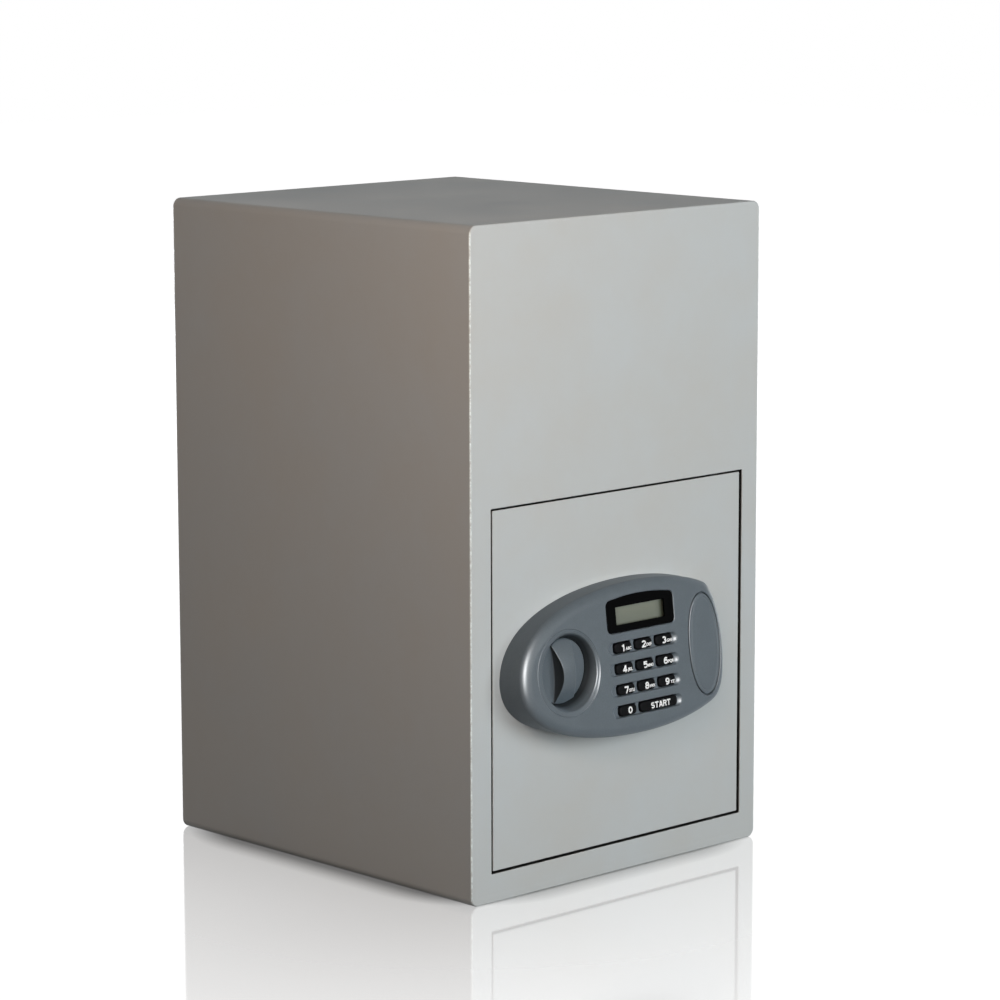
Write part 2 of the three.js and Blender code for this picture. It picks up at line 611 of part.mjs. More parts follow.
function makeHopperPull() {
  const faceY = BACK + PAN_SHEET / 2;
  const top = lintelZ - PULL_FROM_LINTEL;
  const section = bentSheet([
    [faceY, top - PULL_FLANGE], [faceY, top], [faceY + PULL_REACH, top], [faceY + PULL_REACH, top - PULL_LIP],
  ], PAN_SHEET);
  piece('hopper_pull', prism(section, sideFrame, -PULL_WIDTH / 2, PULL_WIDTH / 2), zincSteel);
}

// Hopper rod and the two brackets on the rear panel that carry it
function makeHopperRod() {
  const inner = HOPPER_WIDTH / 2 + 1;
  const outer = inner + BRACKET_THICKNESS;
  piece('hopper_rod', rod('x', HOPPER_ROD_RADIUS, -outer - 2, outer + 2, hopperAxis, 20), brightSteel);
  const [axisY, axisZ] = hopperAxis;
  for (const [name, sign] of [['hopper_left_bracket', -1], ['hopper_right_bracket', 1]]) {
    const [x0, x1] = [sign * inner, sign * outer].sort((a, b) => a - b);
    const [foot0, foot1] = [sign * inner, sign * (outer + BRACKET_FOOT_WIDTH)].sort((a, b) => a - b);
    const ear = rectangle(axisY - BRACKET_EAR, REAR_PLATE_FRONT, axisZ - BRACKET_EAR, axisZ + BRACKET_EAR,
      BRACKET_THICKNESS);
    const upright = prism(ear, sideFrame, x0, x1);
    const footTop = axisZ - 2 * HOPPER_ROD_RADIUS;
    const foot = block(foot0, foot1, REAR_PLATE_FRONT - BRACKET_THICKNESS, REAR_PLATE_FRONT,
      footTop - BRACKET_FOOT_HEIGHT, footTop);
    const bore = rod('x', HOPPER_ROD_RADIUS + FIT, x0 - 1, x1 + 1, hopperAxis, 20);
    piece(name, upright.add(foot).subtract(bore), zincSteel);
  }
}

// Curved hood that closes the way in above the pan while the hopper is open
function makeHopperGuard() {
  const [axisY, axisZ] = hopperAxis;
  const radius = GUARD_RADIUS + PAN_SHEET / 2;
  const flangeY = REAR_PLATE_FRONT - PAN_SHEET / 2;
  const line = [[flangeY, axisZ + radius + GUARD_FLANGE], [flangeY, axisZ + radius]];
  const steps = 8;
  for (let i = 1; i <= steps; i += 1) {
    const angle = Math.PI / 2 + THREE.MathUtils.degToRad(GUARD_SWEEP) * i / steps;
    line.push([axisY + radius * Math.cos(angle), axisZ + radius * Math.sin(angle)]);
  }
  const side = HOPPER_WIDTH / 2 + 4;
  piece('hopper_guard', prism(bentSheet(line, PAN_SHEET), sideFrame, -side, side), zincSteel);
}

// Baffle below the hopper, with a saw-tooth edge that catches anything drawn back up
function makeBaffle() {
  const flangeY = REAR_PLATE_FRONT - PAN_SHEET / 2;
  const endY = flangeY - BAFFLE_REACH;
  const endZ = BAFFLE_FROM_BASE - BAFFLE_DROP;
  const section = bentSheet([
    [flangeY, BAFFLE_FROM_BASE + BAFFLE_FLANGE], [flangeY, BAFFLE_FROM_BASE], [endY, endZ],
  ], PAN_SHEET);
  const side = INSIDE_X - 4;
  let baffle = prism(section, sideFrame, -side, side);
  const teeth = Math.floor(2 * side / TOOTH_PITCH);
  const first = -teeth * TOOTH_PITCH / 2;
  for (let i = 0; i < teeth; i += 1) {
    const x = first + i * TOOTH_PITCH;
    const notch = new THREE.Shape();
    notch.moveTo(x + 1, endY - 2);
    notch.lineTo(x + TOOTH_PITCH - 1, endY - 2);
    notch.lineTo(x + TOOTH_PITCH / 2, endY + TOOTH_DEPTH);
    notch.closePath();
    baffle = baffle.subtract(prism(notch, topFrame, endZ - 5, endZ + TOOTH_DEPTH + 5));
  }
  piece('anti_fish_baffle', baffle, zincSteel);
}

function makeFloorMat() {
  const side = INSIDE_X - BEND_RADIUS + 1;
  const outline = rectangle(-side, side, FRONT + JAMB_DEPTH + 6, REAR_PLATE_FRONT - 2, 4);
  const low = SHEET + FIT;
  piece('floor_mat', prism(outline, topFrame, low, low + MAT_FLOOR_THICKNESS), blackRubber);
}

// The egg outline of the lock panel, in fractions of half its width and half its height
function panelOutline() {
  const at = (u, v) => [panelX + u * panelWidth / 2, panelZ + v * panelHeight / 2];
  const shape = new THREE.Shape();
  shape.moveTo(...at(-1, -0.091));
  shape.bezierCurveTo(...at(-1, 0.734), ...at(-0.329, 1), ...at(0.197, 1));
  shape.bezierCurveTo(...at(0.505, 1), ...at(0.745, 0.908), ...at(0.871, 0.801));
  shape.bezierCurveTo(...at(0.934, 0.747), ...at(1, 0.359), ...at(1, -0.027));
  shape.bezierCurveTo(...at(1, -0.391), ...at(0.974, -0.681), ...at(0.859, -0.777));
  shape.bezierCurveTo(...at(0.688, -0.921), ...at(0.402, -1), ...at(0.128, -1));
  shape.bezierCurveTo(...at(-0.261, -1), ...at(-1, -0.884), ...at(-1, -0.091));
  return outlineOf(shape, 8);
}

// A ring of the panel's outline, drawn in by a distance and sunk below the leaning face
function panelRing(outline, distance, depth) {
  return inset(outline, distance).map(({ x, y: z }) => [x, z, -FRONT + faceProud(z) - depth]);
}

// The panel's outer form: straight walls, a rounded front edge and the leaning face
function panelForm(outline) {
  const rings = [outline.map(({ x, y: z }) => [x, z, -FRONT])];
  const steps = 3;
  for (let i = 0; i <= steps; i += 1) {
    const angle = Math.PI / 2 * i / steps;
    const drawnIn = PANEL_EDGE_RADIUS * (1 - Math.cos(angle));
    rings.push(panelRing(outline, drawnIn, PANEL_EDGE_RADIUS * (1 - Math.sin(angle))));
  }
  return loft(rings, frontFrame);
}

function keyRowZ(row) {
  return panelBottom + firstKeysAboveBottom - row * KEY_PITCH_Z;
}

function keyPlace(row, column) {
  return [keysLeft + GROOVE_LEFT_ROOM + KEY_WIDTH / 2 + column * KEY_PITCH_X, upFace(keyRowZ(row))];
}

// Every key as its name, its centre on the face and its width
function keyList() {
  const keys = [];
  for (let row = 0; row + 1 < KEY_ROWS; row += 1) {
    for (let column = 0; column < KEY_COLUMNS; column += 1) {
      const [u, v] = keyPlace(row, column);
      keys.push({ name: `key_${row * KEY_COLUMNS + column + 1}`, u, v, width: KEY_WIDTH });
    }
  }
  const [zeroU, lastV] = keyPlace(KEY_ROWS - 1, 0);
  keys.push({ name: 'key_0', u: zeroU, v: lastV, width: KEY_WIDTH });
  const [startU] = keyPlace(KEY_ROWS - 1, 1.5);
  keys.push({ name: 'key_start', u: startU, v: lastV, width: KEY_WIDTH + KEY_PITCH_X });
  return keys;
}

function keyOutline(key, grow) {
  const halfU = key.width / 2 + grow;
  const halfV = KEY_HEIGHT / 2 + grow;
  return rectangle(key.u - halfU, key.u + halfU, key.v - halfV, key.v + halfV, KEY_CORNER_RADIUS + grow);
}

// Outline of the display window: straight sides, rounded corners and an arched top
const windowV = upFace(panelBottom + windowAboveBottom);
const lcdV = windowV + LCD_ABOVE_WINDOW_BOTTOM;

function windowOutline(shrink) {
  const radius = WINDOW_CORNER_RADIUS - shrink;
  const [u0, u1] = [keysX - WINDOW_WIDTH / 2 + shrink, keysX + WINDOW_WIDTH / 2 - shrink];
  const [v0, v1] = [windowV + shrink, windowV + WINDOW_SIDE_HEIGHT - shrink];
  const shape = new THREE.Shape();
  shape.moveTo(u0 + radius, v0);
  shape.lineTo(u1 - radius, v0).absarc(u1 - radius, v0 + radius, radius, -Math.PI / 2, 0);
  shape.lineTo(u1, v1 - radius).absarc(u1 - radius, v1 - radius, radius, 0, Math.PI / 2);
  shape.quadraticCurveTo(keysX, v1 + 2 * WINDOW_ARCH, u0 + radius, v1);
  shape.absarc(u0 + radius, v1 - radius, radius, Math.PI / 2, Math.PI);
  shape.lineTo(u0, v0 + radius).absarc(u0 + radius, v0 + radius, radius, Math.PI, Math.PI * 1.5);
  return shape;
}

// Oval cover outline
const ovalX = keysLeft + grooveLength + OVAL_FROM_KEYS + OVAL_WIDTH / 2;
const ovalZ = panelBottom + OVAL_ABOVE_PANEL_BOTTOM;

function ovalOutline(shrink) {
  const [halfU, halfV] = [OVAL_WIDTH / 2 - shrink, OVAL_HEIGHT / 2 - shrink];
  const v = upFace(ovalZ);
  const shape = new THREE.Shape();
  shape.moveTo(ovalX - halfU, v);
  shape.bezierCurveTo(ovalX - halfU, v - 0.6 * halfV, ovalX - 0.6 * halfU, v - halfV, ovalX, v - halfV);
  shape.bezierCurveTo(ovalX + 0.6 * halfU, v - halfV, ovalX + halfU, v - 0.5 * halfV, ovalX + halfU, v);
  shape.bezierCurveTo(ovalX + halfU, v + 0.5 * halfV, ovalX + 0.6 * halfU, v + halfV, ovalX, v + halfV);
  shape.bezierCurveTo(ovalX - 0.6 * halfU, v + halfV, ovalX - halfU, v + 0.6 * halfV, ovalX - halfU, v);
  return shape;
}

// Radius of the recess wall at depth y: it opens out from the disc to the rim
function recessRadius(y) {
  const floorRadius = KNOB_RADIUS + RUNNING_GAP;
  const faceY = FRONT - faceProud(knobZ);
  return floorRadius + (RECESS_RIM_RADIUS - floorRadius) * (discFront - y) / (discFront - faceY);
}

// Round bowl in which the knob sits: the solid added to the moulding, and the hollow cut from it
function knobBowl() {
  const floorTop = discBack + FIT;
  const floorBottom = floorTop + RECESS_FLOOR_THICKNESS;
  const mouth = FRONT - PANEL_DEPTH - 8;
  const rim = KNOB_RADIUS + RUNNING_GAP;
  const added = rod('y', RECESS_RIM_RADIUS + RECESS_RIM_WIDTH, mouth, floorBottom, [knobX, knobZ], 40);
  const cone = turned([
    [0, floorTop], [rim, floorTop], [rim, discFront], [recessRadius(mouth), mouth], [0, mouth],
  ], knobX, knobZ, 40);
  const shaftHole = rod('y', HUB_RADIUS + RUNNING_GAP, floorTop - 1, floorBottom + 1, [knobX, knobZ], 20);
  const chamfer = new THREE.CylinderGeometry(
    RECESS_RIM_RADIUS + RECESS_RIM_WIDTH + 1.4, RECESS_RIM_RADIUS - 0.7, 2 * RECESS_RIM_DEPTH, 40,
  );
  chamfer.rotateX(Math.PI / 2).translate(knobX, upFace(knobZ), 0);
  return { added, hollow: union([cone, shaftHole, solid(chamfer.applyMatrix4(faceFrame))]) };
}

// One groove of the keypad, scooped at both ends
function keyGroove(row) {
  const v = upFace(keyRowZ(row));
  const steps = 2;
  const rings = [];
  for (let i = 0; i <= steps; i += 1) {
    const angle = Math.PI / 2 * i / steps;
    const halfU = grooveLength / 2 - GROOVE_SCOOP * (1 - Math.sin(angle));
    const halfV = GROOVE_HEIGHT / 2 - 0.3 * (1 - Math.sin(angle));
    const groove = rectangle(keysX - halfU, keysX + halfU, v - halfV, v + halfV, halfV - 0.05);
    const outline = outlineOf(groove, 2);
    rings.push(outline.map((point) => [point.x, point.y, -GROOVE_DEPTH * Math.cos(angle)]));
  }
  rings.push(rings[steps].map(([a, b]) => [a, b, 1]));
  return loft(rings, faceFrame);
}

// Lock housing: a hollow moulding with the knob bowl, the key grooves, the window and the cover pocket
function makeLockHousing() {
  const outline = panelOutline();
  const outer = panelForm(outline);
  const cavityLow = inset(outline, PANEL_WALL).map(({ x, y: z }) => [x, z, -FRONT - 1]);
  const cavity = loft([cavityLow, panelRing(outline, PANEL_WALL, FACE_WALL)], frontFrame);
  const bowl = knobBowl();
  const bossZ = [lcdV, upFace(keyRowZ(KEY_ROWS - 1))].map((v) => panelZ + v * Math.cos(faceLean));
  const bosses = [];
  for (const x of bossColumns()) {
    for (const z of bossZ) {
      bosses.push(rod('y', BOSS_RADIUS, FRONT - faceProud(z) + FACE_WALL / 2, FRONT, [x, z], 14));
    }
  }
  const collar = rod('y', LOCK_BARREL_RADIUS + 3, FRONT - faceProud(ovalZ) + FACE_WALL / 2,
    FRONT - faceProud(ovalZ) + FACE_WALL + 4, [ovalX, ovalZ], 28);
  const inside = union([bowl.added, collar, ...bosses]).intersect(outer);
  const cuts = [bowl.hollow];
  for (let row = 0; row < KEY_ROWS; row += 1) cuts.push(keyGroove(row));
  for (const key of keyList()) cuts.push(prism(keyOutline(key, FIT), faceFrame, -FACE_WALL - 3, 1, 1));
  cuts.push(prism(windowOutline(0), faceFrame, -WINDOW_DEPTH, 1, 3));
  cuts.push(prism(lcdOutline(FIT), faceFrame, -FACE_WALL - 3, 0));
  cuts.push(prism(ovalOutline(0), faceFrame, -OVAL_THICKNESS - FIT, 1, 6));
  cuts.push(rod('y', LOCK_BARREL_RADIUS + FIT, FRONT - PANEL_DEPTH - 5, FRONT, [ovalX, ovalZ], 28));
  piece('lock_housing', outer.subtract(cavity).add(inside).subtract(union(cuts)), darkPlastic);
  return outer;
}

// Screw bosses stand just outside the circuit board, left and right
function bossColumns() {
  const board = boardEdges();
  return [board.left - FIT - BOSS_RADIUS, board.right + FIT + BOSS_RADIUS];
}

function boardEdges() {
  return { left: keysLeft - 1, right: keysLeft + grooveLength + 1 };
}

function lcdOutline(grow) {
  const halfV = LCD_HEIGHT / 2 + grow;
  return rectangle(keysX - LCD_WIDTH / 2 - grow, keysX + LCD_WIDTH / 2 + grow, lcdV - halfV, lcdV + halfV);
}

// Display: a black bezel in the window pocket, and the display module that stands behind it
const flangeTop = -FACE_WALL - FIT;
const flangeBottom = flangeTop - KEY_FLANGE_THICKNESS;
const matTop = flangeBottom - KEY_TRAVEL - FIT;
const boardTop = matTop - MAT_THICKNESS - FIT;

function makeDisplay() {
  const bezel = windowOutline(FIT);
  const halfU = LCD_VIEW_WIDTH / 2;
  const halfV = LCD_VIEW_HEIGHT / 2;
  bezel.holes.push(rectangle(keysX - halfU, keysX + halfU, lcdV - halfV, lcdV + halfV));
  const bezelBack = -WINDOW_DEPTH + FIT / 2;
  piece('window_bezel', prism(bezel, faceFrame, bezelBack, bezelBack + BEZEL_THICKNESS, 3), blackPlastic);
  piece('lcd_screen', prism(lcdOutline(0), faceFrame, boardTop + FIT, -LCD_DEPTH), displayGlass);
}

// A key: a flange under the face, a stem through it and a crowned top
function makeKey(key) {
  const steps = [
    [KEY_FLANGE, flangeBottom], [KEY_FLANGE, flangeTop], [0, flangeTop], [0, -KEY_CROWN],
    [-0.6, -KEY_CROWN * 0.3], [-2, 0],
  ];
  const flat = outlineOf(keyOutline(key, 0), 2);
  const rings = steps.map(([grow, w]) => inset(flat, -grow).map((point) => [point.x, point.y, w]));
  piece(key.name, loft(rings, faceFrame), blackPlastic);
}

// Rubber mat and circuit board behind the keys
function makeKeypadInside() {
  const { left, right } = boardEdges();
  const low = upFace(keyRowZ(KEY_ROWS - 1)) - KEY_HEIGHT / 2 - 2;
  const high = upFace(keyRowZ(0)) + KEY_HEIGHT / 2 + 2;
  const mat = rectangle(left + 2, right - 2, low, high, 2);
  piece('key_mat', prism(mat, faceFrame, matTop - MAT_THICKNESS, matTop), blackRubber);
  const boardHigh = lcdV + LCD_HEIGHT / 2 + 1;
  const board = rectangle(left, right, low - 1, boardHigh, 1);
  piece('circuit_board', prism(board, faceFrame, boardTop - BOARD_THICKNESS, boardTop), greenBoard);
}

// Oval cover: a slice of the panel's own form, so that it stays flush where the edge rounds over
function makeOverrideCover(form) {
  const oval = prism(ovalOutline(OVAL_GROOVE), faceFrame, -OVAL_THICKNESS, 1, 6);
  piece('override_cover', oval.intersect(form), darkPlastic);
}

// Override lock: a collared barrel through the door, and a plug with its cam
function makeOverrideLock() {
  const faceY = FRONT - faceProud(ovalZ) + OVAL_THICKNESS + 4 * FIT;
  const endY = doorInside + LOCK_BEHIND_DOOR;
  const bore = LOCK_PLUG_RADIUS + FIT;
  piece('override_cylinder', turned([
    [bore, endY], [LOCK_BARREL_RADIUS, endY], [LOCK_BARREL_RADIUS, FRONT],
    [LOCK_COLLAR_RADIUS, FRONT], [LOCK_COLLAR_RADIUS, FRONT - LOCK_COLLAR_THICKNESS],
    [LOCK_BARREL_RADIUS, FRONT - LOCK_COLLAR_THICKNESS], [LOCK_BARREL_RADIUS, faceY + 0.8],
    [LOCK_BARREL_RADIUS - 0.8, faceY], [bore, faceY], [bore, endY],
  ], ovalX, ovalZ, 20), brass);
  const camFront = endY + FIT;
  const plug = rod('y', LOCK_PLUG_RADIUS, faceY + 0.5, camFront + CAM_THICKNESS, [ovalX, ovalZ], 24);
  const cam = prismY(rectangle(ovalX - 4.5, ovalX + 4.5, ovalZ - CAM_LENGTH, ovalZ, 3), camFront,
    camFront + CAM_THICKNESS);
  const keyhole = block(ovalX - 1, ovalX + 1, faceY - 1, faceY + 8, ovalZ - 4, ovalZ + 4);
  piece('override_plug', plug.add(cam).subtract(keyhole), brass);
}

// Knob: a disc with a grip that rises to an arch along its length and draws in at its waist
function makeKnob() {
  const disc = turned([
    [0, discBack], [KNOB_RADIUS, discBack], [KNOB_RADIUS, discFront + 0.6],
    [KNOB_RADIUS - 0.6, discFront], [0, discFront],
  ], 0, 0, 40);
  const sections = 10;
  const rings = [];
  for (let i = 0; i <= sections; i += 1) {
    const along = -1 + 2 * i / sections;
    const swell = Math.cos(along * Math.PI / 2);
    const rise = GRIP_RISE * swell + 0.4;
    const top = GRIP_FOOT / 2 - (GRIP_FOOT - GRIP_WAIST) / 2 * swell;
    const foot = GRIP_FOOT / 2;
    const v = along * (KNOB_RADIUS + 1);
    const right = [
      [foot, -1], [foot, 0.1], [(top + foot) / 2 + 0.3, rise * 0.45], [top, rise * 0.88],
      [top * 0.7, rise * 0.97],
    ];
    const left = right.map(([u, w]) => [-u, w]).reverse();
    const section = [...right, [0, rise], ...left];
    rings.push(section.map(([u, w]) => [u, w, v]));
  }
  const gripFrame = new THREE.Matrix4().makeBasis(xAxis, yAxis.clone().negate(), zAxis);
  gripFrame.setPosition(0, discFront, 0);
  const within = rod('y', KNOB_RADIUS - 0.3, discFront - GRIP_RISE - 2, discBack, [0, 0], 40);
  const grip = loft(rings, gripFrame).intersect(within);
  const hubEnd = doorInside + 2.5;
  const hub = rod('y', HUB_RADIUS, discBack - 1, hubEnd, [0, 0], 24);
  const socket = rod('y', SPINDLE_RADIUS + FIT, discBack + 1, hubEnd + 1, [0, 0], 20);
  const knob = union([disc, grip, hub]).subtract(socket);
  const turn = -GRIP_LEAN;
  piece('knob', knob.rotate([0, turn, 0]).translate([knobX, 0, knobZ]), darkPlastic);
  const spindle = rod('y', SPINDLE_RADIUS, discBack + 1 + FIT, crankArmBack, [knobX, knobZ], 20);
  piece('knob_spindle', spindle, brightSteel);
}

// Crank: an arm on the spindle whose pin drives the bolt carrier
function makeCrank() {
  const bigEnd = SPINDLE_RADIUS + 3;
  const smallEnd = CRANK_PIN_RADIUS + 2;
  const arm = new THREE.Shape();
  arm.absarc(0, 0, bigEnd, Math.PI * 0.56, Math.PI * 1.44);
  arm.absarc(CRANK_RADIUS, 0, smallEnd, -Math.PI * 0.44, Math.PI * 0.44);
  arm.closePath();
  const plate = prism(arm, frontFrame, -crankArmBack, -crankArmFront, 4);
  const pinBack = crankArmBack + CRANK_PIN_LENGTH;
  const pin = rod('y', CRANK_PIN_RADIUS, crankArmBack - 0.5, pinBack, [CRANK_RADIUS, 0], 20);
  const bore = rod('y', SPINDLE_RADIUS + FIT, crankArmFront - 1, crankArmBack + 1, [0, 0], 20);
  const crank = plate.add(pin).subtract(bore).rotate([0, 45, 0]);
  piece('crank_arm', crank.translate([knobX, 0, knobZ]), zincSteel);
}

// Bolts: round bars with a chamfered tip and a flat where the carrier is fixed
function makeBolt(name, z) {
  const profile = [
    [0, boltTipX], [BOLT_RADIUS - BOLT_TIP_CHAMFER, boltTipX], [BOLT_RADIUS, boltTipX + BOLT_TIP_CHAMFER],
    [BOLT_RADIUS, boltEndX], [0, boltEndX],
  ].map(([radius, x]) => new THREE.Vector2(radius, x));
  const bar = new THREE.LatheGeometry(profile, 20).rotateZ(-Math.PI / 2).translate(0, boltY, z);
  const flat = block(carrierLeft - FIT, boltEndX + 1, carrierFront, boltY + BOLT_RADIUS + 1,
    z - BOLT_RADIUS - 1, z + BOLT_RADIUS + 1);
  piece(name, solid(bar).subtract(flat), brightSteel);
}

function slot(x0, x1, z0, z1) {
  const radius = Math.min(x1 - x0, z1 - z0) / 2 - 0.01;
  return prismY(rectangle(x0, x1, z0, z1, radius), carrierFront - 1, carrierBack + 1, 3);
}

// Bolt carrier: the plate that joins both bolts, with its slots and the tab over the solenoid
const solenoidX = knobX + SOLENOID_RIGHT_OF_KNOB;
const tabZ = knobZ + TAB_ABOVE_KNOB;
const studX = crankPinX - STUD_LEFT_OF_CRANK_PIN;
const studHeights = [knobZ + UPPER_STUD_ABOVE_KNOB, knobZ - LOWER_STUD_BELOW_KNOB];

function makeCarrier() {
  const low = lowerBoltZ - CARRIER_END_MARGIN;
  const high = upperBoltZ + CARRIER_END_MARGIN;
  const web = prismY(rectangle(carrierLeft, carrierRight, low, high, 3), carrierFront, carrierBack);
  const tabRight = solenoidX + PLUNGER_RADIUS + 5;
  const tab = block(carrierRight - 4, tabRight, carrierFront, carrierBack, tabZ, tabZ + TAB_HEIGHT);
  const shelfFront = doorInside + SOLENOID_DEPTH / 2 - PLUNGER_RADIUS - 3;
  const shelf = block(solenoidX - PLUNGER_RADIUS - 5, tabRight, shelfFront, carrierBack, tabZ, tabZ + 3);
  const play = RUNNING_GAP;
  const pinPlay = CRANK_PIN_RADIUS + play + 0.05;
  let carrier = union([web, tab, shelf]);
  carrier = carrier.subtract(slot(crankPinX - pinPlay, crankPinX + pinPlay,
    knobZ - CRANK_RADIUS - CRANK_PIN_RADIUS - play, crankPinZ + CRANK_PIN_RADIUS + play));
  for (const z of studHeights) {
    const reach = STUD_RADIUS + play;
    carrier = carrier.subtract(slot(studX - reach, studX + boltThrow + reach, z - reach, z + reach));
  }
  piece('bolt_carrier', carrier, zincSteel);
}

// Guide studs: shouldered pins on the door that the carrier's slots run on
function makeStuds() {
  for (const [name, z] of [['upper_guide_stud', studHeights[0]], ['lower_guide_stud', studHeights[1]]]) {
    const shoulder = carrierFront - FIT;
    const head = carrierBack + FIT;
    piece(name, turned([
      [0, doorInside], [STUD_COLLAR_RADIUS, doorInside], [STUD_COLLAR_RADIUS, shoulder],
      [STUD_RADIUS, shoulder], [STUD_RADIUS, head], [STUD_COLLAR_RADIUS, head],
      [STUD_COLLAR_RADIUS, head + STUD_HEAD_THICKNESS], [0, head + STUD_HEAD_THICKNESS],
    ], studX, z, 16), zincSteel);
  }
}

// Bolt guides: angle brackets near the free edge of the door
function makeGuides() {
  const left = coverLeft + COVER_SHEET + GUIDE_FROM_COVER;
  for (const [name, z] of [['upper_bolt_guide', upperBoltZ], ['lower_bolt_guide', lowerBoltZ]]) {
    const half = BOLT_RADIUS + GUIDE_SHOULDER;
    const ear = rectangle(doorInside, boltY + BOLT_RADIUS + GUIDE_EDGE, z - half, z + half, GUIDE_EDGE);
    const upright = prism(ear, sideFrame, left, left + GUIDE_THICKNESS);
    const reach = BOLT_RADIUS + GUIDE_FOOT_REACH;
    const foot = block(left, left + GUIDE_THICKNESS, doorInside, doorInside + GUIDE_FOOT_THICKNESS, z - reach,
      z + reach);
    const bore = rod('x', BOLT_RADIUS + FIT, left - 1, left + GUIDE_THICKNESS + 1, [boltY, z], 20);
    piece(name, upright.add(foot).subtract(bore), zincSteel);
  }
}

// Solenoid: its frame stands on the door and its plunger points up at the carrier's tab
function makeSolenoid() {
  const top = tabZ - FIT - PLUNGER_SHOWING;
  const low = top - SOLENOID_HEIGHT;
  const half = SOLENOID_WIDTH / 2;
  const y = doorInside + SOLENOID_DEPTH / 2;
  const frame = block(solenoidX - half, solenoidX + half, doorInside, doorInside + SOLENOID_DEPTH, low, top);
  const boreLow = low + 6;
  const bore = rod('z', PLUNGER_RADIUS + FIT, boreLow, top + 1, [solenoidX, y], 20);
  piece('solenoid_body', frame.subtract(bore), zincSteel);
  const plunger = rod('z', PLUNGER_RADIUS, boreLow + 4, tabZ - FIT, [solenoidX, y], 20);
  piece('solenoid_plunger', plunger, brightSteel);
}

// Door plate with its holes for the knob's hub, the override lock and the wiring
function makeDoorPlate() {
  const plate = rectangle(doorLeft, doorRight, doorBottom, doorTop, DOOR_CORNER_RADIUS);
  let door = prismY(plate, FRONT, doorInside);
  const holes = [
    [HUB_RADIUS + RUNNING_GAP, knobX, knobZ],
    [LOCK_BARREL_RADIUS + FIT, ovalX, ovalZ],
    [8, keysX, knobZ],
  ];
  for (const [radius, x, z] of holes) {
    door = door.subtract(rod('y', radius, FRONT - 1, doorInside + 1, [x, z], 24));
  }
  piece('door_plate', door, paintedSteel);
}

// Battery box, its cells and the lid on the inside of the door
const boxInnerWidth = BATTERY_PITCH * BATTERY_COUNT;
const boxInnerHeight = BATTERY_LENGTH + 2 * BATTERY_END_ROOM;
const boxRight = coverRight - BATTERY_BOX_FROM_COVER_RIGHT;
const boxLeft = boxRight - boxInnerWidth - 2 * BATTERY_BOX_WALL;
const boxTop = coverTop - BATTERY_BOX_FROM_COVER_TOP;
const boxBottom = boxTop - boxInnerHeight - 2 * BATTERY_BOX_WALL;
const boxRim = coverInside - FIT;
const boxFloor = boxRim - 2 * BATTERY_RADIUS - 2 * FIT - BATTERY_BOX_WALL;

function makeBatteryBox() {
  const wall = BATTERY_BOX_WALL;
  const outer = block(boxLeft, boxRight, boxFloor, boxRim, boxBottom, boxTop);
  const inner = block(boxLeft + wall, boxRight - wall, boxFloor + wall, boxRim + 1, boxBottom + wall,
    boxTop - wall);
  piece('battery_box', outer.subtract(inner), greyPlastic);
  const y = boxFloor + wall + FIT + BATTERY_RADIUS;
  const middle = (boxBottom + boxTop) / 2;
  for (let i = 0; i < BATTERY_COUNT; i += 1) {
    const half = BATTERY_LENGTH / 2;
    const profile = [
      [0, -half], [BATTERY_RADIUS - 0.5, -half], [BATTERY_RADIUS, -half + 0.5], [BATTERY_RADIUS, half - 1.5],
      [BATTERY_RADIUS - 0.5, half - 1], [2.7, half - 1], [2.7, half], [0, half],
    ].map(([radius, along]) => new THREE.Vector2(radius, along));
    const cell = new THREE.LatheGeometry(profile, 16).rotateX(i % 2 === 0 ? Math.PI / 2 : -Math.PI / 2);
    const x = boxLeft + wall + BATTERY_PITCH * (i + 0.5);
    piece(`battery_${i + 1}`, solid(cell.translate(x, y, middle)), blueCell);
  }
}

const lidFront = coverBack + FIT;
const lidAxis = [coverBack + FIT + LID_BARREL_RADIUS, boxBottom - LID_OVERLAP - 1];

function makeBatteryLid() {
  const lid = rectangle(boxLeft - LID_OVERLAP, boxRight + LID_OVERLAP, lidAxis[1], boxTop + LID_OVERLAP, 1);
  const barrel = rod('x', LID_BARREL_RADIUS, boxLeft + 4 + FIT, boxRight - 4 - FIT, lidAxis, 16);
  const nubs = rod('x', 1, boxLeft + 1, boxRight - 1, lidAxis, 12);
  const plate = prismY(lid, lidFront, lidFront + LID_THICKNESS);
  const notches = [boxLeft - 3, boxRight - 4 - FIT].map((x) => block(x, x + 7 + FIT, lidFront - 1,
    lidFront + 2 * LID_BARREL_RADIUS, lidAxis[1] - 1, lidAxis[1] + LID_BARREL_RADIUS * Math.SQRT2 + FIT));
  piece('battery_lid', plate.subtract(union(notches)).add(barrel).add(nubs), greyPlastic);
}

// Inner cover: a tray over the bolt work, with holes for the bolts, the batteries and the reset button
const resetX = solenoidX;
const resetZ = coverTop - RESET_FROM_COVER_TOP;

